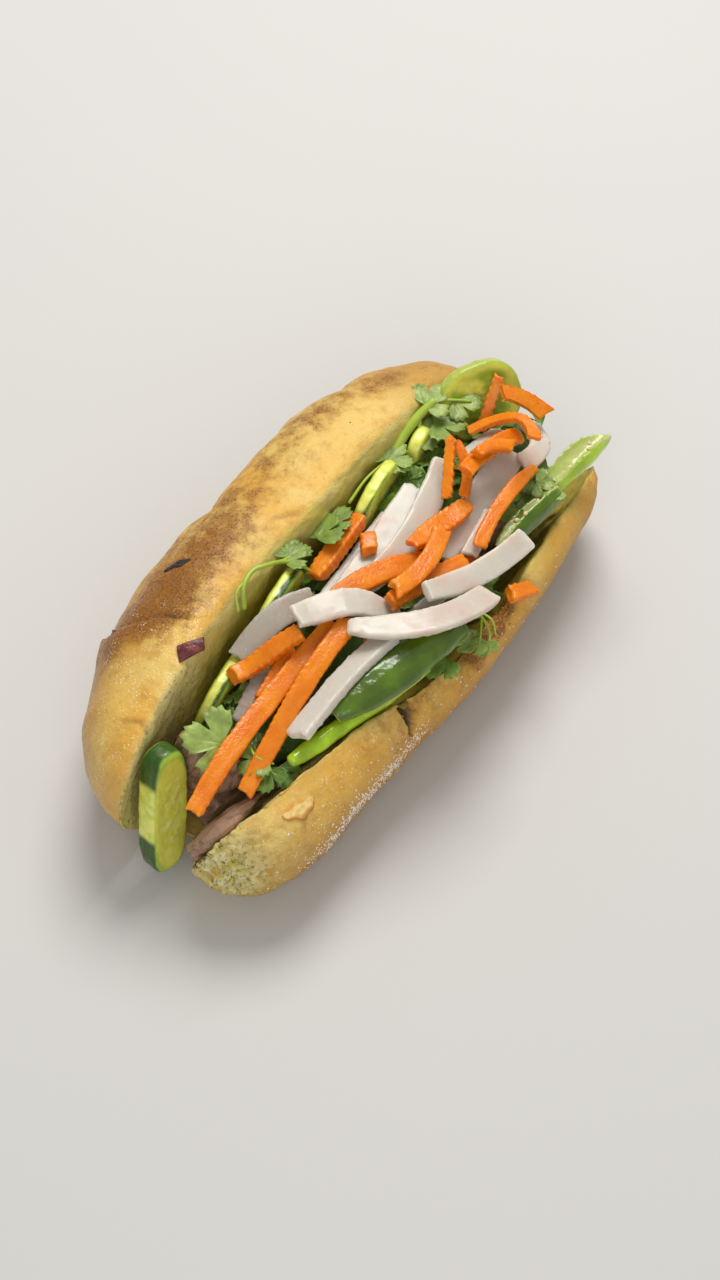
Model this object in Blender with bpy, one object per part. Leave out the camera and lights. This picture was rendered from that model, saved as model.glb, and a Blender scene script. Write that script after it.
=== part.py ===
"""A banh mi sandwich: a split roll opened into a trough, with its fillings laid in one by one.

Metres, +Z up, sizes named in millimetres. The roll runs along Y, its nearer end at -Y. The taller half
of the roll stands on the -X side and the lower half leans out on the +X side, joined under the
fillings by the uncut crust. Each filling is laid on what already lies below it.
"""

import math

import bmesh
import bpy
import numpy as np
from mathutils import Matrix, Vector
from mathutils.bvhtree import BVHTree

MM = 0.001

# Driving sizes of the roll.
LEFT_ENDS = (-100.0, 104.5)
RIGHT_ENDS = (-97.5, 104.5)
HALF_STATIONS = 21
CRUST_POINTS = 15
FACE_POINTS = 4
FACE_HOLLOW = 1.5
HINGE_ENDS = (-82.0, 93.0)
HINGE_STATIONS = 11
HINGE_TOP = 6.5

# Driving sizes of the fillings.
CLEARANCE = 0.45
CLEAR_STEP = 0.3
STRIP_STATIONS = 9
TILTS = (0, -8, 8, -16, 16, -24, 24)
CARROT_SPAN = 32
CARROT_TILTS = (0, -8, 8, -16, 16)
BED_ENDS = (-61.0, 99.0)
BED_STATIONS = 22
BED_AROUND = 18
BED_GAP = 1.1
CARROT = (6.2, 3.4)
DAIKON = (8.0, 2.4)


def clear_scene():
    for obj in list(bpy.data.objects):
        bpy.data.objects.remove(obj, do_unlink=True)


def material(name, colour, roughness=0.6):
    made = bpy.data.materials.get(name)
    if made is None:
        made = bpy.data.materials.new(name)
        made.use_nodes = True
        shader = made.node_tree.nodes["Principled BSDF"]
        shader.inputs["Base Color"].default_value = (*colour, 1.0)
        shader.inputs["Roughness"].default_value = roughness
        shader.inputs["Metallic"].default_value = 0.0
    return made


def loft(name, rings, look, crease=40):
    """A closed body through rings of points, in mm, that all have the same count, with flat end caps."""
    mesh = bmesh.new()
    loops = [[mesh.verts.new(Vector(point) * MM) for point in ring] for ring in rings]
    for first, second in zip(loops, loops[1:]):
        count = len(first)
        for i in range(count):
            j = (i + 1) % count
            mesh.faces.new((first[i], first[j], second[j], second[i]))
    mesh.faces.new(list(reversed(loops[0])))
    mesh.faces.new(loops[-1])
    bmesh.ops.triangulate(mesh, faces=mesh.faces)
    bmesh.ops.recalc_face_normals(mesh, faces=mesh.faces)
    data = bpy.data.meshes.new(name)
    mesh.to_mesh(data)
    mesh.free()
    data.materials.append(look)
    obj = bpy.data.objects.new(name, data)
    bpy.context.scene.collection.objects.link(obj)
    data.shade_smooth()
    data.set_sharp_from_angle(angle=math.radians(crease))
    return obj


def along_roll(s, values):
    """The smooth value at s, from -1 at the near end to 1 at the far end, through values at even steps."""
    place = (s + 1) / 2 * (len(values) - 1)
    i = min(max(int(place), 0), len(values) - 2)
    t = place - i
    before = values[i - 1] if i > 0 else 2 * values[0] - values[1]
    after = values[i + 2] if i + 2 < len(values) else 2 * values[-1] - values[-2]
    here, there = values[i], values[i + 1]
    rise, next_rise = (there - before) / 2, (after - here) / 2
    return (
        here * (2 * t**3 - 3 * t**2 + 1)
        + there * (3 * t**2 - 2 * t**3)
        + rise * (t**3 - 2 * t**2 + t)
        + next_rise * (t**3 - t**2)
    )


def power(value, exponent):
    return math.copysign(abs(value) ** exponent, value)


def step(low, high, value):
    """0 at low, 1 at high, with a smooth rise between them."""
    t = min(1.0, max(0.0, (value - low) / (high - low)))
    return t * t * (3 - 2 * t)


class Half:
    """One half of the split roll: a dome of crust over a flat cut face that hinges at its lower edge."""

    def __init__(self, side, ends, taper, root_x, root_z, lean, width, depth):
        self.side, self.ends, self.taper = side, ends, taper
        self.root_x, self.root_z, self.lean, self.width, self.depth = root_x, root_z, lean, width, depth

    def ring(self, s):
        lean = math.radians(along_roll(s, self.lean))
        near, far = self.ends
        start = Vector((along_roll(s, self.root_x), near + (far - near) * (s + 1) / 2, self.root_z))
        up = Vector((math.sin(lean), 0, math.cos(lean)))
        out = Vector((math.cos(lean), 0, -math.sin(lean))) * self.side
        width, depth = along_roll(s, self.width), along_roll(s, self.depth)
        blunt = 1 - abs(s) ** self.taper[0 if s < 0 else 1]
        tall, deep = blunt**0.5, blunt**0.45
        points = []
        for i in range(CRUST_POINTS + 1):
            turn = math.pi * i / CRUST_POINTS
            rise = width / 2 * (1 + tall * power(math.cos(turn), 0.85))
            points.append(start + up * rise + out * depth * deep * power(math.sin(turn), 0.8))
        for i in range(1, FACE_POINTS + 1):
            q = i / (FACE_POINTS + 1)
            rise = width / 2 * (1 - tall + 2 * tall * q)
            points.append(start + up * rise + out * FACE_HOLLOW * tall * math.sin(math.pi * q))
        return points


LEFT = Half(
    side=-1, ends=LEFT_ENDS, taper=(4.3, 3.3), root_x=(-12.5, -17.5, -16.5, -15, -13.5), root_z=-3,
    lean=(0, 0, 0, 0, 0), width=(67, 67, 66.5, 66.5, 67), depth=(29, 37.5, 40, 40, 36.5),
)
RIGHT = Half(
    side=1, ends=RIGHT_ENDS, taper=(5.4, 2.4), root_x=(-1.5, 0.5, 5.5, 9, 14), root_z=-3,
    lean=(26, 33, 41, 37, 31), width=(57, 57, 57, 57, 57.5), depth=(34, 25, 19, 18.5, 20),
)


def stations(count, reach=0.993):
    """Stations along the roll, closer together towards the ends."""
    return [reach * math.sin(math.pi / 2 * (2 * i / (count - 1) - 1)) for i in range(count)]


def helper(obj):
    obj.hide_render = True
    obj.display_type = "WIRE"
    return obj


def block(name, low, high, look):
    rings = [
        [(x, y, z) for x, z in ((low[0], low[2]), (high[0], low[2]), (high[0], high[2]), (low[0], high[2]))]
        for y in (low[1], high[1])
    ]
    return helper(loft(name, rings, look))


def hinge(look):
    """The uncut crust under the fillings: a shallow belly that runs into both halves."""
    rings = []
    for i in range(HINGE_STATIONS):
        t = i / (HINGE_STATIONS - 1)
        y = HINGE_ENDS[0] + (HINGE_ENDS[1] - HINGE_ENDS[0]) * t
        s = 2 * (y - LEFT_ENDS[0]) / (LEFT_ENDS[1] - LEFT_ENDS[0]) - 1
        lift = 30 * (1 - (1 - abs(s) ** 3.8) ** 0.5)
        shrink = (1 - abs(2 * t - 1) ** 10) ** 0.4
        left, right = along_roll(s, LEFT.root_x) - 14, along_roll(s, RIGHT.root_x) + 13
        middle, half = (left + right) / 2, (right - left) / 2 * (0.8 + 0.2 * shrink)
        low, top = lift - 4, lift * 0.8 + HINGE_TOP
        centre, tall = (low + top) / 2, (top - low) / 2 * (0.4 + 0.6 * shrink)
        rings.append(
            [
                (middle + half * power(math.cos(w), 0.7), y, centre + tall * power(math.sin(w), 0.7))
                for w in (2 * math.pi * k / 14 for k in range(14))
            ]
        )
    return helper(loft("hinge_slab", rings, look))


def bread():
    crust = material("bread_crust", (0.72, 0.52, 0.24), 0.55)
    roll = loft("bread_roll", [LEFT.ring(s) for s in stations(HALF_STATIONS)], crust)
    right = helper(loft("right_half", [RIGHT.ring(s) for s in stations(HALF_STATIONS)], crust))
    under = block("under_the_base", (-90, -130, -40), (90, 130, 0), crust)
    for other, operation in ((hinge(crust), "UNION"), (right, "UNION"), (under, "DIFFERENCE")):
        joint = roll.modifiers.new(other.name, "BOOLEAN")
        joint.operation, joint.solver, joint.object = operation, "EXACT", other
    return roll


class Pile:
    """What has been laid so far, as trees to drop the next piece on."""

    def __init__(self):
        self.trees = []

    def tree(self, obj):
        graph = bpy.context.evaluated_depsgraph_get()
        return BVHTree.FromObject(obj, graph)

    def add(self, obj):
        bpy.context.view_layer.update()
        self.trees.append(self.tree(obj))
        return obj

    def distance(self, start, direction, reach):
        """How far a ray from start, in mm, goes before it meets a piece, or reach."""
        for tree in self.trees:
            hit = tree.ray_cast(Vector(start) * MM, Vector(direction), reach * MM)
            if hit[3] is not None:
                reach = min(reach, hit[3] / MM)
        return reach

    def floor(self, x, y):
        return 150 - self.distance((x, y, 150), (0, 0, -1), 150)

    def touches(self, obj):
        bpy.context.view_layer.update()
        tree = self.tree(obj)
        return any(tree.overlap(other) for other in self.trees)

    def corners_met(self, obj):
        """The corners of the faces of a piece that cut into another one."""
        bpy.context.view_layer.update()
        tree = self.tree(obj)
        faces = {pair[0] for other in self.trees for pair in tree.overlap(other)}
        return {corner for face in faces for corner in obj.data.polygons[face].vertices}

    def free(self, obj, step, limit=60):
        """Moves a piece by small steps until it is clear of all the others, then adds it."""
        tries = 0
        while self.touches(obj) and tries < limit:
            obj.data.transform(Matrix.Translation(Vector(step) * MM))
            tries += 1
        if tries == limit:
            raise ValueError(f"{obj.name} finds no room")
        if tries:
            extra = Matrix.Translation(Vector(step).normalized() * CLEAR_STEP * MM)
            obj.data.transform(extra)
            if self.touches(obj):
                obj.data.transform(extra.inverted())
        return self.add(obj)


def drape(floor, length, span):
    """The shape a springy strip takes over a floor: it rests on the high points and sags between them.

    span is how far apart two supports are when it sags 1 mm between them.
    """
    count = len(floor)
    second = np.diff(np.eye(count), 2, axis=0)
    spring = 0.013 * (span * (count - 1) / length) ** 4 * second.T @ second + 1e-4 * np.eye(count)
    base = np.where(np.isfinite(floor), floor, floor[np.isfinite(floor)].min())
    held = np.ones(count, bool)
    for _ in range(60):
        push = np.where(held, 1e5, 0.0)
        line = np.linalg.solve(spring + np.diag(push), push * base - 1.0 + 1e-4 * base.mean())
        now = line < base + 1e-6
        if (now == held).all():
            break
        held = now
    return line + max(0.0, float((base - line).max())) + CLEARANCE


def strip(pile, name, look, start, end, size, bow=0.0, span=24, tilts=TILTS, ends=(1.0, 1.0)):
    """A strip cut to a width and a thickness, laid from start to end and draped on the pile.

    The path bows sideways in plan, span is how far it bridges before it sags, tilts are the banks in
    degrees that it may settle at, and ends are its width at each end as a share.
    """
    width, thick = size
    start, end = Vector((*start, 0)), Vector((*end, 0))
    along = end - start
    aside = Vector((-along.y, along.x, 0)).normalized()
    fine = np.linspace(0, 1, 25)

    def plan(t):
        return start + along * float(t) + aside * (4 * bow * float(t) * (1 - float(t)))

    def side_of(t):
        way = along + aside * (4 * bow * (1 - 2 * float(t)))
        return Vector((-way.y, way.x, 0)).normalized()

    def half_at(t):
        near, far = min(1.0, 4 * float(t)), min(1.0, 4 - 4 * float(t))
        return width / 2 * (ends[0] + (1 - ends[0]) * near) * (ends[1] + (1 - ends[1]) * far)

    shares = (-1, -0.5, 0, 0.5, 1)
    found = np.full((len(fine), len(shares)), -np.inf)
    for i, t in enumerate(fine):
        for j, share in enumerate(shares):
            at = plan(t) + side_of(t) * (share * half_at(t))
            height = pile.floor(at.x, at.y)
            if height > 5:
                found[i, j] = height
    best = None
    for tilt in tilts:
        slope = math.tan(math.radians(tilt)) * width / 2
        floor = (found - slope * np.array(shares)).max(axis=1)
        tried = drape(floor, along.length, span)
        if best is None or tried.mean() < best[0]:
            best = (tried.mean(), tilt, tried)
    _, tilt, line = best
    slopes = np.gradient(line, fine)
    rings = []
    for t in np.linspace(0, 1, STRIP_STATIONS):
        t = float(t)
        rise_rate = float(np.interp(t, fine, slopes))
        way = Vector((*(along + aside * (4 * bow * (1 - 2 * t))).xy, rise_rate)).normalized()
        level = side_of(t)
        bank = math.radians(tilt)
        across = level * math.cos(bank) + Vector((0, 0, math.sin(bank)))
        across = (across - way * across.dot(way)).normalized()
        normal = way.cross(across)
        centre = plan(t) + Vector((0, 0, float(np.interp(t, fine, line)) + thick / 2))
        half = half_at(t)
        corners = ((-1, -1), (1, -1), (1, 1), (-1, 1))
        rings.append([centre + across * (half * a) + normal * (thick / 2 * b) for a, b in corners])
    return pile.free(loft(name, rings, look), (0, 0, 0.3))


def standing_slice(pile, name, look, start, end, bow, foot, top, thick, lean=0):
    """A slice stood on its edge along a bowed line, like a folded slice of meat.

    foot and top are its lowest and highest heights at its start and at its end.
    """
    start, end = Vector((*start, 0)), Vector((*end, 0))
    along = end - start
    aside = Vector((-along.y, along.x, 0)).normalized()
    rings = []
    for i in range(10):
        t = i / 9
        centre = start + along * t + aside * (4 * bow * t * (1 - t))
        way = (along + aside * (4 * bow * (1 - 2 * t))).normalized()
        side = Vector((-way.y, way.x, 0))
        round_end = (1 - abs(2 * t - 1) ** 4 * 0.85) ** 0.5
        low, peak = foot[0] + (foot[1] - foot[0]) * t, top[0] + (top[1] - top[0]) * t
        middle, high = (low + peak) / 2, (peak - low) / 2 * round_end * (1 + 0.07 * math.sin(9 * t))
        rise = Vector((math.tan(math.radians(lean)), 0, 1))
        half = thick / 2 * (0.6 + 0.4 * round_end)
        ring = []
        for k in range(8):
            turn = 2 * math.pi * k / 8 + math.pi / 8
            ring.append(
                centre
                + side * (half * power(math.cos(turn), 0.6) + 0.8 * math.sin(7 * t + k))
                + Vector((0, 0, middle))
                + rise * (high * power(math.sin(turn), 0.7))
            )
        rings.append(ring)
    return pile.free(loft(name, rings, look, 60), (0, 0, 0.5))


def cucumber_slice(pile, name, look, centre, axes, reach, half_wide, thick, step, blunt=0.85):
    """A slant slice of cucumber: an oval slab with rounded rims. axes are its long and wide ones."""
    long_axis, wide_axis = Vector(axes[0]).normalized(), Vector(axes[1])
    wide_axis = (wide_axis - long_axis * wide_axis.dot(long_axis)).normalized()
    normal = long_axis.cross(wide_axis)
    rings = []
    for depth, shrink in ((-0.5, 0.94), (-0.33, 1.0), (0.33, 1.0), (0.5, 0.94)):
        ring = []
        for k in range(22):
            turn = 2 * math.pi * k / 22
            ring.append(
                Vector(centre)
                + long_axis * (reach * shrink * power(math.cos(turn), blunt))
                + wide_axis * (half_wide * shrink * power(math.sin(turn), blunt))
                + normal * (thick * depth)
            )
        rings.append(ring)
    return pile.free(loft(name, rings, look), step)


def pepper_slice(pile, name, look, start, end, bow, arch, width, height, wall, roll, ends):
    """A lengthwise slice of a green chilli: an arched wall, narrowing towards its ends.

    start and end are points in space, bow is sideways and arch upwards, width is its chord and height
    its rise across, roll turns its round side from up towards +X in degrees.
    """
    start, end = Vector(start), Vector(end)
    along = end - start
    aside = Vector((-along.y, along.x, 0)).normalized()
    rings = []
    for i in range(12):
        t = i / 11
        hump = 4 * t * (1 - t)
        centre = start + along * t + aside * (bow * hump) + Vector((0, 0, arch * hump))
        turn = 4 * (1 - 2 * t)
        way = (along + aside * (bow * turn) + Vector((0, 0, arch * turn))).normalized()
        level = way.cross(Vector((0, 0, 1))).normalized()
        turned = Matrix.Rotation(math.radians(roll), 3, way)
        across, crown = turned @ level, turned @ level.cross(way)
        size = (ends[0] + (1 - ends[0]) * math.sin(math.pi / 2 * min(1, 2.2 * t)) ** 0.8) * (
            ends[1] + (1 - ends[1]) * math.sin(math.pi / 2 * min(1, 2.2 * (1 - t))) ** 0.8
        )
        ring = []
        for inner in (0, 1):
            for k in range(7):
                q = (k / 6 * 2 - 1) * (-1 if inner else 1)
                half = (width / 2 - inner * wall * 0.35) * size
                round_by = math.cos(q * math.pi / 2)
                lift = height * size * (round_by - 1) - inner * wall * (0.55 + 0.45 * round_by)
                ring.append(centre + across * (half * math.sin(q * math.pi / 2)) + crown * lift)
        rings.append(ring)
    return pile.free(loft(name, rings, look, 50), (0, 0, 0.4))


def bed_top(x, y):
    """Height of the bed of herbs under the strips, highest along its middle."""
    right, near = max(0.0, x - 20), max(0.0, -y - 45)
    ridge = 43.5 - 0.02 * right**2 - 0.02 * near**2
    ridge += 3.5 * step(8, -3, x) + 4.0 * step(25, 55, y)
    return ridge + 1.2 * math.sin(0.32 * y + 0.1 * x) + 0.8 * math.sin(0.36 * x - 0.4 * y)


def herb_bed(pile, name, look):
    """The bed of herbs: it fills the space between the pieces laid so far, out to a low uneven top."""
    count, around = BED_STATIONS, BED_AROUND
    ways = [2 * math.pi * k / around for k in range(around)]
    reach, cores = np.zeros((count, around)), []
    for i in range(count):
        y = BED_ENDS[0] + (BED_ENDS[1] - BED_ENDS[0]) * i / (count - 1)
        core = Vector((9 + 0.02 * y, y, 33 - 0.02 * max(0, -y - 40) ** 1.4))
        cores.append(core)
        for k, turn in enumerate(ways):
            limit = 60.0
            for extra in (-math.pi / around, 0, math.pi / around):
                way = Vector((math.cos(turn + extra), 0, math.sin(turn + extra)))
                for shift in (-3, 0, 3):
                    start = core + Vector((0, shift, 0))
                    limit = min(limit, pile.distance(start, way, 60) - BED_GAP)
                while limit > 1 and (core + way * limit).z > bed_top((core + way * limit).x, y):
                    limit -= 0.5
            reach[i, k] = max(1.0, limit)
    smooth = reach.copy()
    for i in range(count):
        for k in range(around):
            rows = [min(max(i + step, 0), count - 1) for step in (-1, 0, 1)]
            near = [reach[row, (k + turn) % around] for row in rows for turn in (-1, 0, 1)]
            smooth[i, k] = min(reach[i, k], 0.5 * reach[i, k] + 0.5 * sum(near) / 9)
    for _ in range(40):
        rings = []
        for i, core in enumerate(cores):
            blunt = 0.25 + 0.75 * (1 - abs(2 * i / (count - 1) - 1) ** 8) ** 0.5
            rings.append(
                [
                    core + Vector((math.cos(w), 0, math.sin(w))) * smooth[i, k] * blunt
                    for k, w in enumerate(ways)
                ]
            )
        made = loft(name, rings, look, 80)
        met = pile.corners_met(made)
        if not met:
            return pile.add(made)
        for corner in met:
            smooth[corner // around, corner % around] *= 0.93
        bpy.data.objects.remove(made, do_unlink=True)
    raise ValueError("the bed doesn't fit")


def meats(pile):
    look = material("grilled_meat", (0.23, 0.14, 0.11), 0.5)
    strip(pile, "meat_slice_01", look, (9, 88), (5, 26), (20, 6), bow=2, span=12, ends=(0.7, 0.8))
    strip(pile, "meat_slice_02", look, (4, 38), (2, -28), (19, 6), bow=-2, span=12, ends=(0.8, 0.8))
    strip(pile, "meat_slice_03", look, (0, -16), (-2, -76), (15, 6), bow=2, span=12, ends=(0.8, 0.7))
    standing_slice(pile, "meat_slice_04", look, (-11, -70), (10.5, -65), -5.0, (8, 27), (47, 38), 8)
    standing_slice(pile, "meat_slice_05", look, (10.5, -94), (19.5, -60), 0.5, (19, 25), (31, 39), 5, 27)
    standing_slice(pile, "meat_slice_06", look, (20, 50), (29, 86), 1.5, (24, 24), (41, 41), 6)


def cucumbers(pile):
    look = material("cucumber", (0.45, 0.55, 0.20), 0.35)
    upright = ((-0.12, 0.25, 0.96), (0.2, 0.97, 0))
    cucumber_slice(
        pile, "cucumber_slice_01", look, (-6.5, -85, 28.5), upright, 24, 7, 8.5, (0.15, -0.5, 0), blunt=0.6
    )
    across = ((0.46, 0.89, 0), (-0.45, 0.23, 0.86))
    cucumber_slice(pile, "cucumber_slice_06", look, (-6.5, 86, 51), across, 15, 13, 5, (0.4, 0, 0))
    # Against the left face: place along the roll, height, half lengths along and up, climb and lean.
    row = (
        (-46.5, 34, 15.5, 13, 0.02, 0.2),
        (-15.5, 43, 15.5, 14, 0.05, 0.14),
        (38, 42, 15, 13, 0.04, 0.06),
        (62.5, 43, 7.5, 11, 0.06, 0.06),
    )
    for i, (y, z, reach, half, climb, lean) in enumerate(row):
        centre = (along_roll(y / 102, LEFT.root_x) + 4.2, y, z)
        axes = ((-0.13, 1, climb), (lean, 0, 1))
        name = f"cucumber_slice_{i + 2:02d}"
        cucumber_slice(pile, name, look, centre, axes, reach, half, 5.0, (0.4, 0, 0))


def peppers(pile):
    look = material("green_chilli", (0.10, 0.25, 0.03), 0.25)
    rows = (
        ((24.4, -60.2, 42), (39.9, -7.6, 43), -0.5, 0.5, 6.5, 3, 2.2, 40, (0.4, 0.6)),
        ((26.5, -41.5, 43), (38.8, 9, 46), -2.0, 2.0, 14.5, 4.5, 2.6, 14, (0.5, 0.95)),
        ((35.0, 72, 43), (39.9, 99, 48), -1.0, 1.0, 11, 6, 2.4, 150, (0.75, 0.12)),
        ((35.5, 43, 43), (39.0, 70.5, 45), -1.0, 1.0, 12, 6.5, 2.4, 125, (0.6, 0.75)),
    )
    for i, row in enumerate(rows):
        pepper_slice(pile, f"jalapeno_slice_{i + 1:02d}", look, *row)


def strips(pile):
    white = material("pickled_daikon", (0.80, 0.74, 0.66), 0.3)
    orange = material("pickled_carrot", (0.80, 0.25, 0.03), 0.35)

    laid = {"daikon": 0, "carrot": 0}

    def daikon(start, end, bow=0.0, width=DAIKON[0], thick=DAIKON[1], **more):
        laid["daikon"] += 1
        strip(pile, f"daikon_strip_{laid['daikon']:02d}", white, start, end, (width, thick), bow, **more)

    def carrot(start, end, bow=0.0, width=CARROT[0], thick=CARROT[1], ends=(1.0, 1.0)):
        laid["carrot"] += 1
        name = f"carrot_strip_{laid['carrot']:02d}"
        strip(pile, name, orange, start, end, (width, thick), bow, CARROT_SPAN, CARROT_TILTS, ends)

    daikon((1, -55), (-2, -31), 0.5, width=6.0, thick=1.6)
    daikon((0, -15), (-3.5, 34), -1.1, width=8, ends=(0.7, 0.6))
    daikon((3, -9), (-2, 46), -1.2, width=8.5, ends=(0.7, 0.7))
    daikon((7, -1), (0.5, 58), -5.0, width=9.0, ends=(0.6, 0.6))
    daikon((-10, -39), (-1, -12), 1.5, width=9, thick=1.8, span=16)
    carrot((4, -48), (2, -28), width=5.5)
    carrot((9.5, -92), (8.8, -16), 2.2, width=6.6, ends=(0.8, 1.0))
    carrot((16.5, -75), (13.5, -14), 0.6, width=6.4, ends=(0.8, 1.0))
    carrot((-8, -46), (4.5, -26.5), 0.6, width=6)
    carrot((-7.5, -2), (-8.0, 24), width=6.5, thick=4.5, ends=(0.8, 0.9))
    carrot((6, -11), (20, 25), 3.5, width=7.5)
    carrot((17.5, -11), (23, -1), -1.0, width=4.8, thick=2.5)
    daikon((1.5, -26), (22.5, 1), 2.4, width=9.5, thick=2.6, span=13, ends=(0.8, 0.6))
    daikon((23, 5), (27, 24), width=5)
    carrot((24.5, 25), (28.5, 38), width=5)
    daikon((20, 30), (16, 76), width=11, ends=(0.5, 1))
    daikon((27, 34), (24, 52), width=5.5)
    daikon((8, 61), (11, 78), width=9.5, ends=(0.6, 0.8))
    daikon((22, 73), (13, 90), -5.1, width=7)
    carrot((13, 22), (17, 48), width=7, ends=(0.6, 0.8))
    carrot((15, 49), (3, 62), -2.6, width=4)
    carrot((12, 44), (3, 60), width=4)
    carrot((14, 51), (18, 78), 2.0, width=6.5)
    carrot((14, 58), (20, 69), 1.4, width=4)
    carrot((3, 78), (1, 92), width=4.2)
    carrot((29, 37), (27, 73), 2.1, width=4.8, ends=(1.0, 0.7))
    carrot((5.5, 85), (18.5, 93), 2.2, width=7)
    carrot((2, 71), (27, 71), 8.7, width=5, thick=2.8)
    carrot((20, -1), (28, 30), 0.9, width=6)
    carrot((20, 2), (18, 32), -2.6, width=6)
    daikon((22.5, -55), (27, -10), 1.3, width=8, thick=3.4)
    daikon((16, -18), (42, 23), -7.8, width=9, thick=2.8, ends=(0.6, 1))
    daikon((28, 7), (40, 48), width=8, thick=2.8, ends=(0.8, 1))
    carrot((44.5, 31), (47.8, 40), width=5.3)
    carrot((-2, 16), (2, 19), width=7.0)


def settle_on_origin():
    """Moves everything so that the middle of the box round the sandwich, at its base, is the origin."""
    graph = bpy.context.evaluated_depsgraph_get()
    points = []
    for obj in bpy.data.objects:
        if not obj.hide_render:
            points += [obj.matrix_world @ Vector(c) for c in obj.evaluated_get(graph).bound_box]
    low = [min(p[i] for p in points) for i in range(3)]
    high = [max(p[i] for p in points) for i in range(3)]
    shift = Matrix.Translation((-(low[0] + high[0]) / 2, -(low[1] + high[1]) / 2, -low[2]))
    for obj in bpy.data.objects:
        obj.data.transform(shift)
    bpy.context.view_layer.update()


def main():
    clear_scene()
    pile = Pile()
    pile.add(bread())
    meats(pile)
    cucumbers(pile)
    peppers(pile)
    herb_bed(pile, "cilantro_bed", material("cilantro", (0.06, 0.14, 0.02), 0.6))
    strips(pile)
    settle_on_origin()


main()
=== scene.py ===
"""The looks of a banh mi sandwich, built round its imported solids.

Laid out as a Blender add-on and run as a script. Everything stands in the solids' own frame, in metres with
+Z up: the roll runs along Y, its taller half stands on the -X side and its lower half leans out on the +X
side. Places and sizes of the food are written in mm.
"""

import math
import random

import bmesh
import bpy
import numpy as np
from bpy.props import FloatProperty, FloatVectorProperty, IntProperty, PointerProperty
from mathutils import Matrix, Vector, noise
from mathutils.bvhtree import BVHTree


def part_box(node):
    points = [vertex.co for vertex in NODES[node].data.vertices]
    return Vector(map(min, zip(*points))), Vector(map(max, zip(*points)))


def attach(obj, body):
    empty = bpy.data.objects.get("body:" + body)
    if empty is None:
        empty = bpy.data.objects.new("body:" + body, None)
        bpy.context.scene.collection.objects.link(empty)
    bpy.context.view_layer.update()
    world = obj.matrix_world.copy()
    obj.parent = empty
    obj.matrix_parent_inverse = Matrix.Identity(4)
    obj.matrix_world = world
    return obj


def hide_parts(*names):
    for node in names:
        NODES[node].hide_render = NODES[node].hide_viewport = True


bl_info = {
    "name": "Banh Mi Sandwich",
    "version": (1, 0, 0),
    "blender": (4, 5, 0),
    "location": "View3D > Sidebar > Banh Mi",
    "description": "Builds the crust, fillings and herbs of a banh mi sandwich round its solids",
    "category": "Add Mesh",
}

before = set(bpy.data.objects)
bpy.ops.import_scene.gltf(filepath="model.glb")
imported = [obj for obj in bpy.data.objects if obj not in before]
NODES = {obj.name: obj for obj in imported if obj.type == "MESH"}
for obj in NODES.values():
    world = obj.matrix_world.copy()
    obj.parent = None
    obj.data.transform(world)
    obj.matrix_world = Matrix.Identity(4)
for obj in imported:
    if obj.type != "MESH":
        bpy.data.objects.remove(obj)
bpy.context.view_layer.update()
MM = 0.001
BODY = "root"
ABOVE = 100  # mm, higher than the sandwich
BESIDE = 120  # mm, past its leaning side
DOWN = (0, 0, -1)
FAR = 0.3  # m, how far a ray is followed


# Plain geometry helpers. Places, sizes and heights are in mm unless a line says otherwise.


def nodes_named(start):
    return sorted(name for name in NODES if name.startswith(start))


def link(obj):
    bpy.context.scene.collection.objects.link(obj)
    return obj


def solid(name, node):
    """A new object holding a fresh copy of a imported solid, its split corners joined."""
    mesh = bpy.data.meshes.new(name)
    work = bmesh.new()
    work.from_mesh(NODES[node].data)
    bmesh.ops.remove_doubles(work, verts=work.verts, dist=1e-6)
    work.to_mesh(mesh)
    work.free()
    return link(bpy.data.objects.new(name, mesh))


def bake(obj):
    """Turns an object's modifiers into its own mesh."""
    graph = bpy.context.evaluated_depsgraph_get()
    mesh = bpy.data.meshes.new_from_object(obj.evaluated_get(graph))
    obj.modifiers.clear()
    obj.data = mesh
    return obj


def remesh(obj, cell, passes):
    """Rebuilds a mesh from cells of one size, in metres, and softens its edges."""
    voxels = obj.modifiers.new("cells", "REMESH")
    voxels.mode, voxels.voxel_size, voxels.adaptivity = "VOXEL", cell, 0
    soften = obj.modifiers.new("soften", "SMOOTH")
    soften.factor, soften.iterations = 0.5, passes
    return bake(obj)


def rows_of(items, key):
    flat = np.empty(len(items) * 3, np.float32)
    items.foreach_get(key, flat)
    return flat.reshape(-1, 3).astype(float)


def points_of(mesh):
    return rows_of(mesh.vertices, "co") / MM


def normals_of(mesh):
    return rows_of(mesh.vertex_normals, "vector")


def set_points(mesh, points):
    mesh.vertices.foreach_set("co", (points * MM).astype(np.float32).ravel())
    mesh.update()


def paint(mesh, name, values):
    """Stores a number, or a vector, at each vertex for a material to read."""
    vector = values.ndim == 2
    layer = mesh.attributes.new(name, "FLOAT_VECTOR" if vector else "FLOAT", "POINT")
    layer.data.foreach_set("vector" if vector else "value", values.astype(np.float32).ravel())


def lumps(points, size, octaves=2, seed=0.0):
    """Smooth noise from about -1 to 1 at each point, size is its coarsest wavelength."""
    offset = Vector((seed, 1.7 * seed, -seed))
    return np.array([noise.fractal(Vector(p) / size + offset, 1.0, 2.0, octaves) for p in points])


def rise(low, high, values):
    """0 below low, 1 above high, with a smooth step between them."""
    t = np.clip((values - low) / (high - low), 0, 1)
    return t * t * (3 - 2 * t)


def push(mesh, heights):
    """Moves each vertex along its normal."""
    set_points(mesh, points_of(mesh) + normals_of(mesh) * heights[:, None])


def axes_of(points):
    """A mesh's centre and its long, middle and thin directions."""
    centre = points.mean(axis=0)
    _, directions = np.linalg.eigh(np.cov((points - centre).T))
    return centre, directions[:, ::-1].T


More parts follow.
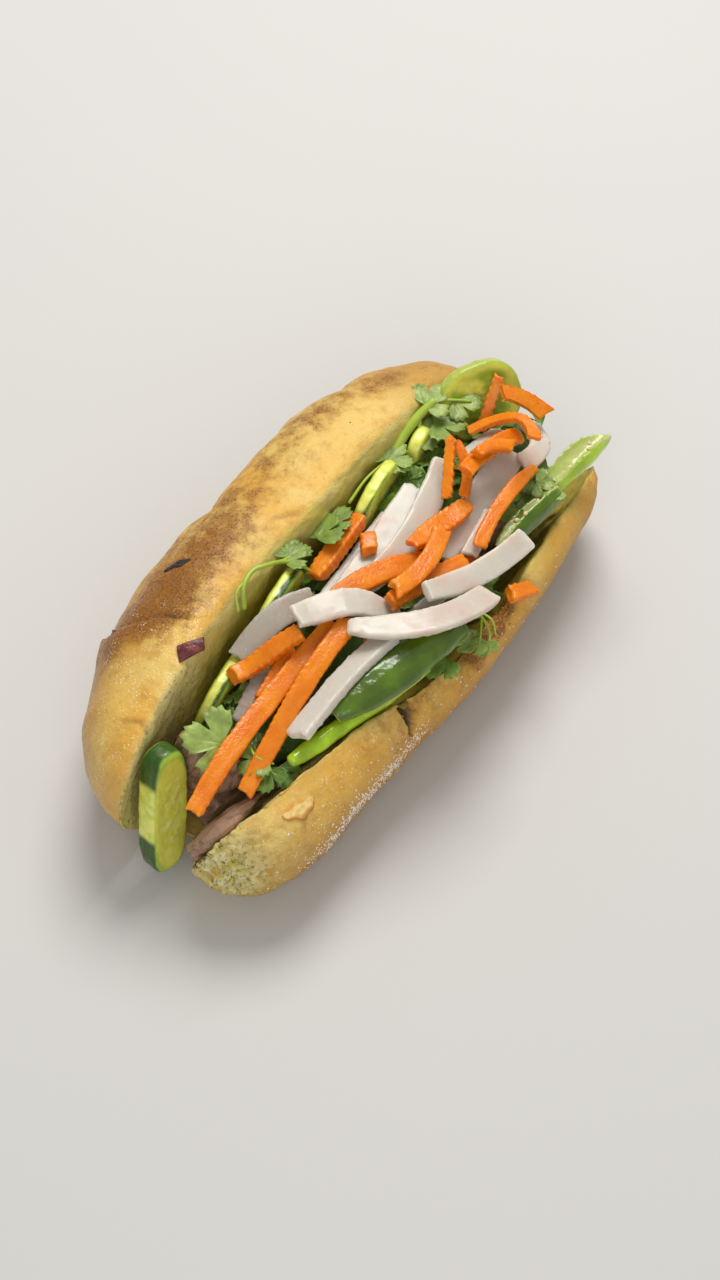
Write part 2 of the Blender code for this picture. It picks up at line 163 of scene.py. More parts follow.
def spread(mesh, values, times):
    """Blurs values along the mesh's edges."""
    ends = np.empty(len(mesh.edges) * 2, np.int32)
    mesh.edges.foreach_get("vertices", ends)
    first, second = ends.reshape(-1, 2).T
    count = len(mesh.vertices)
    share = np.bincount(first, minlength=count) + np.bincount(second, minlength=count) + 1.0
    for _ in range(times):
        summed = np.bincount(first, values[second], count) + np.bincount(second, values[first], count)
        values = (values + summed) / share
    return values


def tree_of(mesh):
    return BVHTree.FromPolygons([v.co for v in mesh.vertices], [p.vertices for p in mesh.polygons])


def from_rows(name, vertices, faces):
    mesh = bpy.data.meshes.new(name)
    mesh.from_pydata([Vector(vertex) * MM for vertex in vertices], [], faces)
    mesh.update()
    return link(bpy.data.objects.new(name, mesh))


def loft(rings, sides):
    """The faces of a rod whose vertices are listed ring by ring, with a cap on each end."""
    faces = []
    for i in range(rings - 1):
        for k in range(sides):
            j = (k + 1) % sides
            faces.append((i * sides + k, i * sides + j, (i + 1) * sides + j, (i + 1) * sides + k))
    return faces + [tuple(reversed(range(sides))), tuple(range((rings - 1) * sides, rings * sides))]


class Pile:
    """Gathers small shapes into one mesh."""

    def __init__(self):
        self.vertices, self.faces = [], []

    def add(self, vertices, faces):
        start = len(self.vertices)
        self.vertices += vertices
        self.faces += [tuple(corner + start for corner in face) for face in faces]


def settle(obj, material, slot, *replaced):
    """Gives a piece its finish and ties it to the sandwich."""
    obj.data.materials.clear()
    obj.data.materials.append(material)
    obj.data.shade_smooth()
    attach(obj, BODY)
    if replaced:
        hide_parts(*replaced)
    return obj


class Finish:
    """A Principled material whose colour, roughness and bump are built up from nodes."""

    def __init__(self, name, **sockets):
        self.material = bpy.data.materials.new(name)
        self.material.use_nodes = True
        self.tree = self.material.node_tree
        self.shader = self.tree.nodes["Principled BSDF"]
        for key, value in sockets.items():
            self.set(key.replace("_", " ").title().replace("Ior", "IOR"), value)

    def set(self, socket, value):
        self.join(self.shader.inputs[socket], value)

    def join(self, socket, value):
        if isinstance(value, bpy.types.NodeSocket):
            self.tree.links.new(value, socket)
        elif socket.type == "RGBA":
            socket.default_value = (*value[:3], 1.0)
        else:
            socket.default_value = value

    def node(self, kind, inputs=(), **settings):
        made = self.tree.nodes.new(kind)
        for key, value in settings.items():
            setattr(made, key, value)
        for key, value in dict(inputs).items():
            self.join(made.inputs[key], value)
        return made

    def place(self):
        return self.node("ShaderNodeTexCoord").outputs["Object"]

    def attribute(self, name):
        return self.node("ShaderNodeAttribute", attribute_name=name)

    def value(self, name):
        return self.attribute(name).outputs["Fac"]

    def vector(self, name):
        return self.attribute(name).outputs["Vector"]

    def cloud(self, size, detail=3.0, rough=0.5, where=None):
        inputs = {"Scale": 1 / (size * MM), "Detail": detail, "Roughness": rough}
        inputs["Vector"] = where or self.place()
        return self.node("ShaderNodeTexNoise", inputs).outputs["Fac"]

    def cells(self, size):
        inputs = {"Scale": 1 / (size * MM), "Vector": self.place()}
        return self.node("ShaderNodeTexVoronoi", inputs).outputs["Distance"]

    def band(self, value, low, high, to_low=0.0, to_high=1.0):
        inputs = {"Value": value, "From Min": low, "From Max": high, "To Min": to_low, "To Max": to_high}
        return self.node("ShaderNodeMapRange", inputs, interpolation_type="SMOOTHSTEP").outputs["Result"]

    def maths(self, operation, a, b=0.0):
        return self.node("ShaderNodeMath", {0: a, 1: b}, operation=operation).outputs["Value"]

    def times(self, a, b):
        return self.maths("MULTIPLY", a, b)

    def blend(self, amount, a, b):
        return self.node("ShaderNodeMix", {0: amount, 6: a, 7: b}, data_type="RGBA").outputs[2]

    def layers(self, tone, *layers):
        """A colour with others laid over it in turn, each given as (amount, colour)."""
        for amount, other in layers:
            tone = self.blend(amount, tone, other)
        return tone

    def bump(self, height, depth, normal=None):
        inputs = {"Height": height, "Distance": depth * MM}
        if normal:
            inputs["Normal"] = normal
        return self.node("ShaderNodeBump", inputs).outputs["Normal"]

    def coat(self, tone, roughness, normal):
        """Joins up the last colour, roughness and bump and hands over the material."""
        self.set("Base Color", tone)
        self.set("Roughness", roughness)
        self.set("Normal", normal)
        return self.material


def soft_finish(name, weight, scale, radius, specular, **sockets):
    """A finish that light soaks into: how much of it, how deep and how deep for red, green and blue."""
    return Finish(
        name,
        Subsurface_Weight=weight,
        Subsurface_Scale=scale * MM,
        Subsurface_Radius=radius,
        Specular_IOR_Level=specular,
        **sockets,
    )


# What a user can change.


def colour(name, description, default):
    return FloatVectorProperty(
        name=name, description=description, default=default, size=3, min=0, max=1, subtype="COLOR"
    )


def length(name, description, default):
    return FloatProperty(
        name=name, description=description, default=default, min=0, max=0.05, unit="LENGTH", precision=4
    )


def angle(name, description, degrees):
    return FloatProperty(name=name, description=description, default=math.radians(degrees), subtype="ANGLE")


class BreadLook(bpy.types.PropertyGroup):
    crust: colour("Crust", "Golden colour of the baked crust", (0.76, 0.375, 0.036))
    pale: colour("Pale crust", "Paler crust away from the heat", (0.73, 0.53, 0.155))
    toast: colour("Toast", "Brown of the toasted streak", (0.31, 0.120, 0.014))
    crumb: colour("Crumb", "Colour of the cut faces", (0.70, 0.58, 0.14))
    cell: length("Mesh cell", "Cell size of the crust's mesh", 1.12 * MM)
    lump: length("Unevenness", "Height of the crust's gentle bumps", 0.9 * MM)
    grains: IntProperty(name="Flour grains", description="Grains of flour on the crust", default=560, min=0)


class StripLook(bpy.types.PropertyGroup):
    carrot: colour("Carrot", "Colour of the pickled carrot", (0.75, 0.195, 0.005))
    carrot_pale: colour("Carrot edge", "Paler colour of its wet edges", (0.86, 0.32, 0.025))
    daikon: colour("Daikon", "Colour of the pickled daikon", (0.61, 0.57, 0.50))
    daikon_blush: colour("Daikon blush", "Pinkish tint inside the daikon", (0.62, 0.48, 0.405))
    wave: length("Unevenness", "Height of the strips' cut marks", 0.30 * MM)
    cell: length("Mesh cell", "Cell size of the strips' meshes", 0.55 * MM)


class GreenLook(bpy.types.PropertyGroup):
    flesh: colour("Cucumber flesh", "Pale flesh of the cucumber", (0.68, 0.66, 0.09))
    skin: colour("Cucumber skin", "Dark skin of the cucumber", (0.030, 0.095, 0.008))
    chilli: colour("Chilli skin", "Glossy dark skin of the big green chilli", (0.062, 0.118, 0.002))
    young_chilli: colour("Young chilli skin", "Brighter skin of the thin chilli slices", (0.31, 0.48, 0.006))
    chilli_inside: colour("Chilli inside", "Pale wall of the green chilli", (0.44, 0.54, 0.13))
    cell: length("Mesh cell", "Cell size of these slices' meshes", 0.6 * MM)


class MeatLook(bpy.types.PropertyGroup):
    lean: colour("Meat", "Grey-brown of the grilled meat", (0.36, 0.205, 0.125))
    dark: colour("Seared edge", "Darker seared meat", (0.095, 0.045, 0.024))
    cell: length("Mesh cell", "Cell size of the meat's meshes", 0.7 * MM)
    fibre: length("Fibre height", "Height of the meat's fibres", 0.5 * MM)


class HerbLook(bpy.types.PropertyGroup):
    leaf: colour("Leaf", "Green of the cilantro leaves", (0.090, 0.19, 0.012))
    young: colour("Young leaf", "Lighter green of small leaves and stems", (0.33, 0.44, 0.10))
    core: colour("Core", "Dark green between the leaves", (0.035, 0.09, 0.01))
    scattered: IntProperty(name="Leaves", description="Leaflets laid over the bed", default=150, min=0)
    reach: length("Leaflet size", "Length of a leaflet", 10.5 * MM)


class StageLook(bpy.types.PropertyGroup):
    floor: colour("Floor", "Colour of the plain floor", (0.62, 0.615, 0.60))
    azimuth: angle("Camera azimuth", "Camera's turn from -Y towards +X", 34)
    height: angle("Camera elevation", "Camera's rise over the floor", 55)
    distance: FloatProperty(
        name="Camera distance", description="From the camera to its target", default=1.2, unit="LENGTH"
    )
    lens: FloatProperty(name="Lens", description="Focal length in mm", default=106.3, min=10)
    key: FloatProperty(name="Key light", description="Power of the main light", default=10.0, unit="POWER")
    sky: FloatProperty(name="Sky", description="Strength of the even light all round", default=0.40, min=0)


LOOKS = {
    "banh_mi_bread": BreadLook,
    "banh_mi_strips": StripLook,
    "banh_mi_greens": GreenLook,
    "banh_mi_meat": MeatLook,
    "banh_mi_herbs": HerbLook,
    "banh_mi_stage": StageLook,
}


# Bread.

# Where the crust was toasted most, on the outer shoulder of the taller half.
STREAK = np.array(
    [
        (-41, -54, 55), (-36, -42, 60), (-35, -20, 60), (-36, 0, 60),
        (-38, 20, 58.5), (-38, 40, 57), (-35, 56, 56), (-28, 72, 55),
    ]
)
CRACK = np.array([(-47, -57, 44), (-44.5, -56, 51), (-37.6, -51.5, 58), (-30.3, -48, 61.4), (-22.2, -46, 63)])
WRINKLES = (
    np.array([(-21, -84, 54), (-15.5, -82.5, 56.5), (-12, -83, 54)]),
    np.array([(-27, -41, 62), (-22, -37, 63), (-19, -40, 63)]),
    np.array([(-24, 0, 62), (-20, 5, 62.5), (-17, 7, 62)]),
)
SLIT = np.array([(42.4, -23.2, 40.4), (47.1, -24.6, 34.8), (48.6, -26.4, 30)])
BROWNED_RIM = np.array([(47.8, 8, 38.3), (47.7, 18, 39), (46.7, 28, 39.8)])
TORN = np.array([(33.6, -76, 40.5), (35.5, -71.5, 40.5), (38, -67, 39)])
NOSE = (25, -97, 24)
DENTS = ((-50, 1, 45), (-49, 34, 46), (-42, 62, 46))
# Browner and paler spots of crust, the last paler one a painted highlight on the near shoulder: how strong
# each one is, its middle and its reach.
TOASTED_SPOTS = ((0.5, (-31, -44, 61), 11), (0.35, (45, -16, 38), 12), (0.35, (-24, 90, 48), 14))
PALE_SPOTS = ((0.9, NOSE, 26), (0.5, (-14, -96, 24), 26), (0.7, (-24, -64, 59), 17))

# Dark brown painted into the crack, the wrinkles and the slit as painted shade in these recesses.
CRACK_TONE = (0.085, 0.042, 0.010)
# Pale dots of flour, also standing for painted glints on the crust.
FLOUR_TONE = (0.92, 0.84, 0.66)


def line_distance(points, line):
    """The distance of each point from a line through a row of places."""
    best = np.full(len(points), np.inf)
    for a, b in zip(line, line[1:]):
        t = np.clip(((points - a) @ (b - a)) / ((b - a) @ (b - a)), 0, 1)
        best = np.minimum(best, np.linalg.norm(points - (a + t[:, None] * (b - a)), axis=1))
    return best


def fade(distance, reach):
    """1 at no distance, fading out over reach."""
    return np.exp(-((distance / reach) ** 2))


def near_to(points, place, reach):
    return fade(np.linalg.norm(points - np.array(place), axis=1), reach)


def near_spots(points, spots):
    return sum(amount * near_to(points, place, reach) for amount, place, reach in spots)


def cut_faces(mesh):
    """1 on the roll's cut faces and 0 on its crust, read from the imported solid."""
    tree = tree_of(NODES["bread_roll"].data)
    found = []
    for x, y, z in points_of(mesh):
        _, normal, _, _ = tree.find_nearest(Vector((x, y, z)) * MM)
        inside_left = normal.x > 0.85 and x < 0 and z > 5
        inside_right = normal.x < -0.3 and x > -5 and normal.z > 0
        found.append(float(inside_left or inside_right))
    return spread(mesh, np.array(found), 3)


def soften_lip(obj):
    """Rolls the lip of the taller half over, most towards the far end."""
    x, y, z = points_of(obj.data).T
    weight = fade(z - 62, 13) * (x > -34) * (x < 0) * (0.12 + 0.88 * rise(-60, -20, y))
    group = obj.vertex_groups.new(name="lip")
    for i, value in enumerate(weight):
        if value > 0.02:
            group.add([i], float(value), "REPLACE")
    soften = obj.modifiers.new("roll", "SMOOTH")
    soften.factor, soften.iterations, soften.vertex_group = 0.95, 140, group.name
    bake(obj)
    obj.vertex_groups.clear()


def crust_tones(made, look, mottle, fine):
    """The crust: golden with paler and browner patches, the toasted streak, freckles and flour. The browner
    patches are partly real browning and partly painted shade on the near end's left edge and the low sides. A
    paler spot on the near shoulder is a painted highlight, and the pale flour dots also stand for painted
    glints.
    """
    broad = made.band(made.cloud(20, 3), 0.40, 0.62)
    golden = made.layers(
        made.blend(made.times(broad, 0.75), look.crust, look.pale),
        (made.value("pale"), look.pale),
        (made.band(made.cloud(9, 3, 0.6), 0.48, 0.72, 0, 0.55), (0.60, 0.26, 0.022)),
        (made.band(mottle, 0.35, 0.75, 0, 0.4), (0.77, 0.52, 0.14)),
        (made.band(made.cloud(2.2, 3, 0.6), 0.52, 0.78, 0, 0.45), (0.56, 0.25, 0.022)),
    )
    uneven = made.maths("ADD", made.value("toast"), made.band(mottle, 0.25, 0.75, -0.28, 0.28))
    specks = made.times(made.band(fine, 0.48, 0.62), made.band(uneven, 0.2, 0.9))
    # Pale dots, partly flour and partly painted glints.
    dusty = made.times(made.band(made.cells(1.0), 0.30, 0.16), made.value("dust"))
    return made.layers(
        golden,
        # Browner crust, partly real browning and partly painted shade on the near end's left edge and the low
        # sides.
        (made.times(made.value("baked"), made.band(mottle, 0.2, 0.7, 1.15, 0.6)), (0.44, 0.195, 0.020)),
        (made.band(uneven, -0.05, 1.1), look.toast),
        (made.times(specks, 0.75), (0.085, 0.035, 0.010)),
        (made.times(made.band(made.cells(5.5), 0.10, 0.04), 0.35), (0.34, 0.16, 0.03)),
        (made.times(dusty, made.band(made.cloud(6, 3), 0.42, 0.62)), FLOUR_TONE),
    )


def crumb_tones(made, look, holes):
    """The cut faces: yellowish crumb, chalky at the nose and lighter on its raised flakes as a painted
    highlight, with pits darkened by painted shade, and painted shade lower down on the cut faces and in the
    nose's hollows.
    """
    pits = made.times(made.maths("SUBTRACT", 1.0, holes), made.value("pitted"))
    return made.layers(
        look.crumb,
        (made.band(made.cloud(8, 3), 0.3, 0.7), (0.66, 0.57, 0.22)),
        # Whitish crumb at the nose, lighter on its raised flakes as a painted highlight.
        (made.value("chalk"), (0.74, 0.70, 0.42)),
        # Pores darkened with painted shade.
        (made.times(pits, 0.55), (0.27, 0.215, 0.05)),
        # Painted shade: darker low on the cut faces and in the nose's hollows.
        (made.value("damp"), (0.38, 0.30, 0.035)),
    )


def bread_finish(look):
    made = Finish("crust", Specular_IOR_Level=0.34)
    mottle = made.cloud(4.5, 4, 0.6)
    fine = made.cloud(0.7, 3, 0.7)
    holes = made.band(made.cloud(1.5, 3, 0.6), 0.33, 0.44)
    crumb = made.value("crumb")
    tone = made.layers(
        crust_tones(made, look, mottle, fine),
        (crumb, crumb_tones(made, look, holes)),
        (made.value("torn"), (0.72, 0.30, 0.05)),
        # Painted shade in the crack, the wrinkles and the slit.
        (made.value("crack"), CRACK_TONE),
    )
    shine = made.maths("ADD", made.band(fine, 0.35, 0.75, 0.24, 0.50), made.times(made.value("matte"), 0.22))
    relief = made.bump(made.cloud(1.3, 4, 0.6), 0.24)
    relief = made.bump(made.cells(0.9), 0.09, relief)
    relief = made.bump(mottle, 0.28, relief)
    pores = made.times(holes, made.times(crumb, made.value("pitted")))
    dull = made.maths("MAXIMUM", shine, made.times(crumb, 0.8))
    return made.coat(tone, dull, made.bump(pores, 0.28, relief))


def build_bread(look):
    obj = remesh(solid("bread_crust", "bread_roll"), look.cell, 4)
    cut = cut_faces(obj.data)
    soften_lip(obj)
    mesh = obj.data
    points = points_of(mesh)
    x, y, z = points.T
    left = rise(0, -8, x)
    right = 1 - left
    nose = near_to(points, NOSE, 15)
    mouth = rise(-35, -62, y)
    rough = fade(line_distance(points, BROWNED_RIM), 5.5)
    flake = np.abs(lumps(points * (1, 1, 2), 5, 3, 5.0))
    ragged = lumps(points, 6, 2, 12.0) * 0.9

    # The crack, with one edge lifted and the other sunk, the wrinkles and the slit.
    split = np.abs(line_distance(points, CRACK) + ragged * 0.6)
    behind = y - (-56 + 0.5 * (x + 47))
    flap = np.where(behind < 0, 1.3, -0.9) * np.exp(-np.abs(behind) / 12) * rise(26, 42, z) * left
    flap *= rise(26, 36, -x)
    folds = sum(fade(line_distance(points, line), 0.9) for line in WRINKLES)
    slit = rise(1.0, 0.45, (line_distance(points, SLIT) + ragged * 0.4) / (0.5 + 2.7 * rise(29, 41, z)))

    # Heights over the plain solid, none where the roll rests.
    height = (2.4 * (lumps(points, 34, 2, 3.1) - 0.15) + 0.35 * lumps(points, 10, 2, 8.4)) * look.lump / MM
    height += lumps(points, 3.2, 2, 1.2) * 0.12 + lumps(points, 4.5, 3, 9.0) * cut * 0.6
    height += flap + 0.9 * rough * np.abs(lumps(points, 2.6, 2, 14.0)) - 6.5 * flake * nose
    height -= 1.3 * fade(split, 0.9) + 0.6 * folds + 3.0 * slit
    height -= 1.7 * sum(near_to(points * (1, 1, 0.6) + (0, 0, 18), place, 5) for place in DENTS)
    push(mesh, height * rise(0.6, 5, z))

    blotches = lumps(points, 22, 3, 6.0)
    away = line_distance(points, STREAK) * (1 - 0.42 * rise(-36, -40, x))
    toast = fade(away, 11.5 - 4 * rise(-20, 50, y)) * (0.45 + 0.65 * rise(40, -40, y) + 0.35 * blotches)
    toast += near_spots(points, TOASTED_SPOTS) + 0.22 * right * rise(0, 0.6, blotches)
    toast += 2.0 * rough * (0.75 + 0.8 * lumps(points, 3.5, 2, 2.0))
    # Browner crust: darker low on the outer sides, painted shade on the low side of the leaning half and on
    # the left edge and lower left of the near end, and real browning along the far top.
    baked = (0.7 * rise(34, 12, z) + 0.5 * right * rise(40, 24, z)) * rise(10, 40, np.abs(x))
    baked += left * (0.8 * rise(-30, -64, y) * rise(-22, -44, x) + 0.35 * rise(-60, -95, y) * rise(50, 30, z))
    baked += left * 0.75 * rise(52, 84, y)
    # Paler crust; the spot on the near shoulder is a painted highlight.
    pale = near_spots(points, PALE_SPOTS) + 0.25 * right
    pale += left * (0.85 * rise(10, 60, y) + 0.4 * near_to(points, (-22, -10, 62), 40))
    # Where pale dots go: flour on the crust, and painted glints where it shines.
    dust = 0.8 * left * rise(-20, -70, y) + 0.7 * right * rise(30, -50, y) * rise(20, 44, x)
    # Painted shade: darker low on the cut faces, less so at the mouth, and in the hollows of the nose's
    # flakes.
    damp = cut * (0.25 + 0.75 * rise(58, 44, z)) * (1 - 0.85 * mouth) + 0.5 * nose * rise(0.18, 0.45, flake)
    crumb = cut * (1 - rough) + 1.2 * nose * (lumps(points, 7, 2, 4.0) > -0.42)
    torn = fade(line_distance(points, TORN), 1.6) * rise(-0.2, 0.3, lumps(points, 3, 2, 18.0))
    masks = {
        "baked": baked,
        "pale": pale,
        "damp": damp,
        "dust": dust,
        "matte": rise(-50, -5, y),
        "pitted": mouth + nose,
        # Whitish crumb painted on the nose's raised flakes as a highlight, and a little on the left cut face
        # by the mouth.
        "chalk": 1.2 * nose * rise(0.26, 0.04, flake) + 0.3 * mouth * left,
        "torn": torn,
        "crumb": crumb,
        # Painted shade in the crack, the wrinkles and the slit.
        "crack": 0.8 * fade(split, 0.7) + 0.35 * folds + slit,
    }
    paint(mesh, "toast", np.clip(toast, 0, 1.2))
    for name, values in masks.items():
        paint(mesh, name, np.clip(values, 0, 1))
    return settle(obj, bread_finish(look), "bread", "bread_roll")


# Pickled strips.


def grain_of(mesh, stretch):
    """Places squeezed along a piece's long direction, for grain that runs its way."""
    points = points_of(mesh)
    centre, (long, middle, thin) = axes_of(points)
    away = points - centre
    return np.stack([away @ long / stretch, away @ middle, away @ thin], axis=1)


# How far the strips' grain is drawn out.
STRIP_GRAIN = 7.0

# How much thinner the finely shredded strips at the far end are on each side.
SLIM = {
    "carrot_strip_10": 0.4,
    "carrot_strip_11": 0.4,
    "carrot_strip_12": 0.5,
    "carrot_strip_14": 0.3,
    "carrot_strip_16": 0.9,
    "carrot_strip_17": 0.55,
}


def carrot_finish(look):
    made = soft_finish("pickled_carrot", 0.6, 3, (1.0, 0.3, 0.05), 0.38)
    grain = made.cloud(1.6, 3, 0.6, made.vector("grain"))
    tone = made.layers(
        look.carrot,
        (made.band(made.cloud(7, 2), 0.35, 0.7), (0.80, 0.26, 0.006)),
        (made.band(grain, 0.5, 0.8, 0, 0.35), look.carrot_pale),
        (made.times(made.value("edge"), 0.55), (0.90, 0.33, 0.045)),
        (made.times(made.value("tip"), 0.6), (0.84, 0.22, 0.03)),
    )
    wet = made.band(made.cloud(2.6, 2), 0.35, 0.7, 0.22, 0.48)
    return made.coat(tone, wet, made.bump(made.cells(1.0), 0.08, made.bump(grain, 0.12)))


# The slivers thin enough to see through a little.
THIN_DAIKON = ("daikon_strip_01", "daikon_strip_05")


def daikon_finish(name, look, clear):
    made = soft_finish(name, 1.0, 5, (1.0, 0.85, 0.7), 0.5, Transmission_Weight=clear, IOR=1.36)
    veins = made.cloud(2.2, 3, 0.5, made.vector("grain"))
    tone = made.layers(
        look.daikon,
        # Pink patches, painted light bounced off the carrots.
        (made.band(made.cloud(16, 2), 0.42, 0.72), look.daikon_blush),
        # Lighter on the sides: painted light lifting their shade.
        (made.times(made.value("edge"), 0.4), (0.72, 0.69, 0.64)),
        (made.band(veins, 0.5, 0.8, 0, 0.3), (0.70, 0.67, 0.61)),
    )
    wet = made.band(made.cloud(4, 2), 0.35, 0.7, 0.16, 0.34)
    return made.coat(tone, wet, made.bump(made.cloud(6, 2), 0.12, made.bump(veins, 0.03)))


# How far the ends of a strip are ragged, and how rough its cut sides are.
CARROT_CUT = (2.2, 1.0)
DAIKON_CUT = (1.4, 0.35)


def build_strip(node, look, material, slot, cut, seed):
    obj = remesh(solid(node + "_cut", node), look.cell, 5)
    mesh = obj.data
    ends, rough = cut
    points = points_of(mesh)
    _, (long, _, _) = axes_of(points)
    along = grain_of(mesh, 1)[:, 0]
    near_end = rise(0.72, 1.0, np.abs(along) / np.abs(along).max()) * np.sign(along)
    set_points(mesh, points + np.outer(lumps(points, 5, 2, seed + 6) * near_end * ends, long))
    normals = normals_of(mesh)
    along, across, _ = grain_of(mesh, 1).T
    shred = lumps(grain_of(mesh, STRIP_GRAIN), 2.4, 2, seed) * 0.13 * rough
    wave = lumps(points_of(mesh), 7, 1, seed + 3) * look.wave / MM * (0.4 + 0.6 * rough)
    notched = np.sin(along / 0.42 + seed) * rise(0.55, 0.95, np.abs(across) / np.abs(across).max())
    push(mesh, shred + wave + notched * 0.16 * rough - SLIM.get(node, 0))
    even = np.stack([spread(mesh, values, 4) for values in normals.T], axis=1)
    paint(mesh, "edge", rise(0.25, 0.7, spread(mesh, np.abs(normals - even).sum(axis=1), 1)))
    paint(mesh, "grain", grain_of(mesh, STRIP_GRAIN) * MM)
    reach = np.abs(grain_of(mesh, 1)[:, 0])
    paint(mesh, "tip", rise(reach.max() - 1.6, reach.max() - 0.4, reach))
    return settle(obj, material, slot, node)


# Cucumber and chilli.

# Where each cucumber slice's rim is peeled, see build_cucumber.
PEELED = (-1, -0.1, 0.25)
CUCUMBER_PEEL = (None, (PEELED, 0.1), (PEELED, -0.35), (PEELED, -0.1), (PEELED, 0.4), 0.0045)


def cucumber_finish(look):
    made = soft_finish("cucumber", 0.35, 2.5, (0.8, 1.0, 0.25), 0.5)
    place = made.value("outwards")
    pale = made.layers(
        look.flesh,
        (made.band(made.cloud(2.6, 3), 0.42, 0.7), (0.74, 0.75, 0.22)),
        (made.band(place, 0.45, 0.78), look.flesh),
        (made.band(place, 0.84, 0.98), (0.30, 0.44, 0.04)),
        (made.value("deep"), (0.27, 0.41, 0.03)),
    )
    stripes = made.band(made.cloud(2.5, 2, 0.5, made.vector("grain")), 0.4, 0.65)
    skin = made.blend(stripes, look.skin, (0.055, 0.115, 0.010))
    waxy = made.blend(made.band(made.cloud(3, 3), 0.35, 0.7), (0.84, 0.84, 0.20), (0.62, 0.70, 0.08))
    tone = made.blend(made.value("skin"), pale, made.blend(made.value("bared"), skin, waxy))
    wet = made.band(made.cloud(3, 2), 0.3, 0.7, 0.20, 0.42)
    return made.coat(tone, wet, made.bump(made.cloud(5, 2), 0.4, made.bump(made.cloud(1.6, 3), 0.16)))


def build_cucumber(node, look, material, seed, bare):
    """A slice with dark skin on its rim. bare is the side that's peeled and how far past its middle, a number
    near 0 for a rim that's half bare all round, or None for one that's peeled over its middle."""
    obj = remesh(solid(node + "_slice", node), look.cell, 7)
    mesh = obj.data
    points = points_of(mesh)
    centre, (long, wide, thin) = axes_of(points)
    away = points - centre
    reach, half = np.abs(away @ long).max(), np.abs(away @ wide).max()
    thick = np.abs(away @ thin).max()
    outwards = ((np.abs(away @ long) / reach) ** 2.6 + (np.abs(away @ wide) / half) ** 2.6) ** (1 / 2.6)
    rim = rise(0.84, 0.93, outwards) * rise(0.3, 0.65, 1 - np.abs(normals_of(mesh) @ thin))
    uneven = lumps(points, 8, 2, seed)
    deep = np.zeros(len(points))
    if isinstance(bare, float):
        side = np.full(len(points), bare)
        deep = rise(-0.35, 0.15, uneven) * rise(0.86, 0.7, outwards)
    elif bare is None:
        side = 0.45 - np.abs(away @ long / reach + 0.06) + uneven * 0.04
    else:
        way, past = np.array(bare[0]), bare[1]
        whole = np.abs(way @ thin) * thick + np.abs(way @ wide) * half + np.abs(way @ long) * reach
        side = away @ way / whole + past + uneven * 0.2
    paint(mesh, "skin", np.clip(rim, 0, 1))
    paint(mesh, "bared", rise(-0.06, 0.06, side))
    paint(mesh, "deep", deep)
    paint(mesh, "outwards", outwards)
    hollow = 0.35 * (1 - rise(0.3, 0.7, outwards)) * (0.5 + lumps(points, 3, 2, seed))
    push(mesh, lumps(points, 6, 2, seed) * 0.2 - hollow)
    paint(mesh, "grain", grain_of(mesh, 5.0) * MM)
    return settle(obj, material, "cucumber", node)


# Which way the skin of each chilli slice faces.
CHILLI_CROWNS = ((0.64, 0, 0.77), (0.24, 0, 0.97), (0.5, 0, -0.87), (0.82, 0, -0.57))


def chilli_finish(name, look, skin_colour):
    made = soft_finish(name, 0.12, 1.5, (0.5, 1.0, 0.2), 0.55, Coat_Weight=0.4, Coat_Roughness=0.07)
    lighter = tuple(1.6 * c for c in skin_colour)
    skin = made.blend(made.band(made.cloud(9, 3), 0.35, 0.7), skin_colour, lighter)
    inside = made.layers(
        look.chilli_inside,
        (made.band(made.cloud(2.5, 3), 0.35, 0.7), (0.52, 0.54, 0.20)),
        (made.times(made.value("wall"), 0.7), (0.24, 0.34, 0.03)),
    )
    outer = made.value("skin")
    relief = made.bump(made.cloud(3.5, 2), 0.35, made.bump(made.cloud(1.1, 2), 0.05))
    return made.coat(made.blend(outer, inside, skin), made.band(outer, 0, 1, 0.38, 0.22), relief)


def build_chilli(node, look, material, crown, seed):
    """A slice whose skin is on the side that crown points to."""
    obj = remesh(solid(node + "_skin", node), look.cell, 4)
    mesh = obj.data
    points, normals = points_of(mesh), normals_of(mesh)
    centre, (long, _, _) = axes_of(points)
    crown = np.array(Vector(crown).normalized())
    crown = crown - long * (crown @ long)
    crown /= np.linalg.norm(crown)
    across = np.cross(long, crown)
    away = points - centre
    width = np.abs(away @ across).max()
    hub = away - np.outer(away @ long, long) + crown * 0.9 * width
    hub /= np.linalg.norm(hub, axis=1)[:, None]
    outer = (normals * hub).sum(axis=1)
    far = 0.4 * rise(30, 40, centre[1])
    paint(mesh, "skin", rise(0.05 + far, 0.4 + far, outer))
    paint(mesh, "wall", rise(0.62, 0.95, np.abs(away @ across) / width))
    uneven = lumps(points, 11, 2, seed) * 0.4 + lumps(points, 4, 2, seed) * 0.12
    push(mesh, uneven + 0.9 * rise(-44, -60, points[:, 1]))
    return settle(obj, material, "chilli", node)


# Meat.


def meat_finish(look):
    made = soft_finish("grilled_meat", 0.2, 1.4, (1.0, 0.5, 0.3), 0.5)
    along = made.vector("grain")
    fibre = made.cloud(1.3, 4, 0.65, along)
    tone = made.layers(
        look.lean,
        (made.band(fibre, 0.3, 0.7), (0.46, 0.29, 0.19)),
        (made.band(made.cloud(7, 3), 0.48, 0.74, 0, 0.7), look.dark),
        (made.band(made.cloud(3, 3, 0.6, along), 0.58, 0.72, 0, 0.7), (0.56, 0.38, 0.27)),
        # Painted shade in the grooves between fibres and in the hollows of the folds.
        (made.times(made.value("dip"), 0.75), (0.13, 0.062, 0.026)),
    )
    return made.coat(tone, made.band(made.cloud(2, 3), 0.35, 0.7, 0.28, 0.6), made.bump(fibre, 0.9))


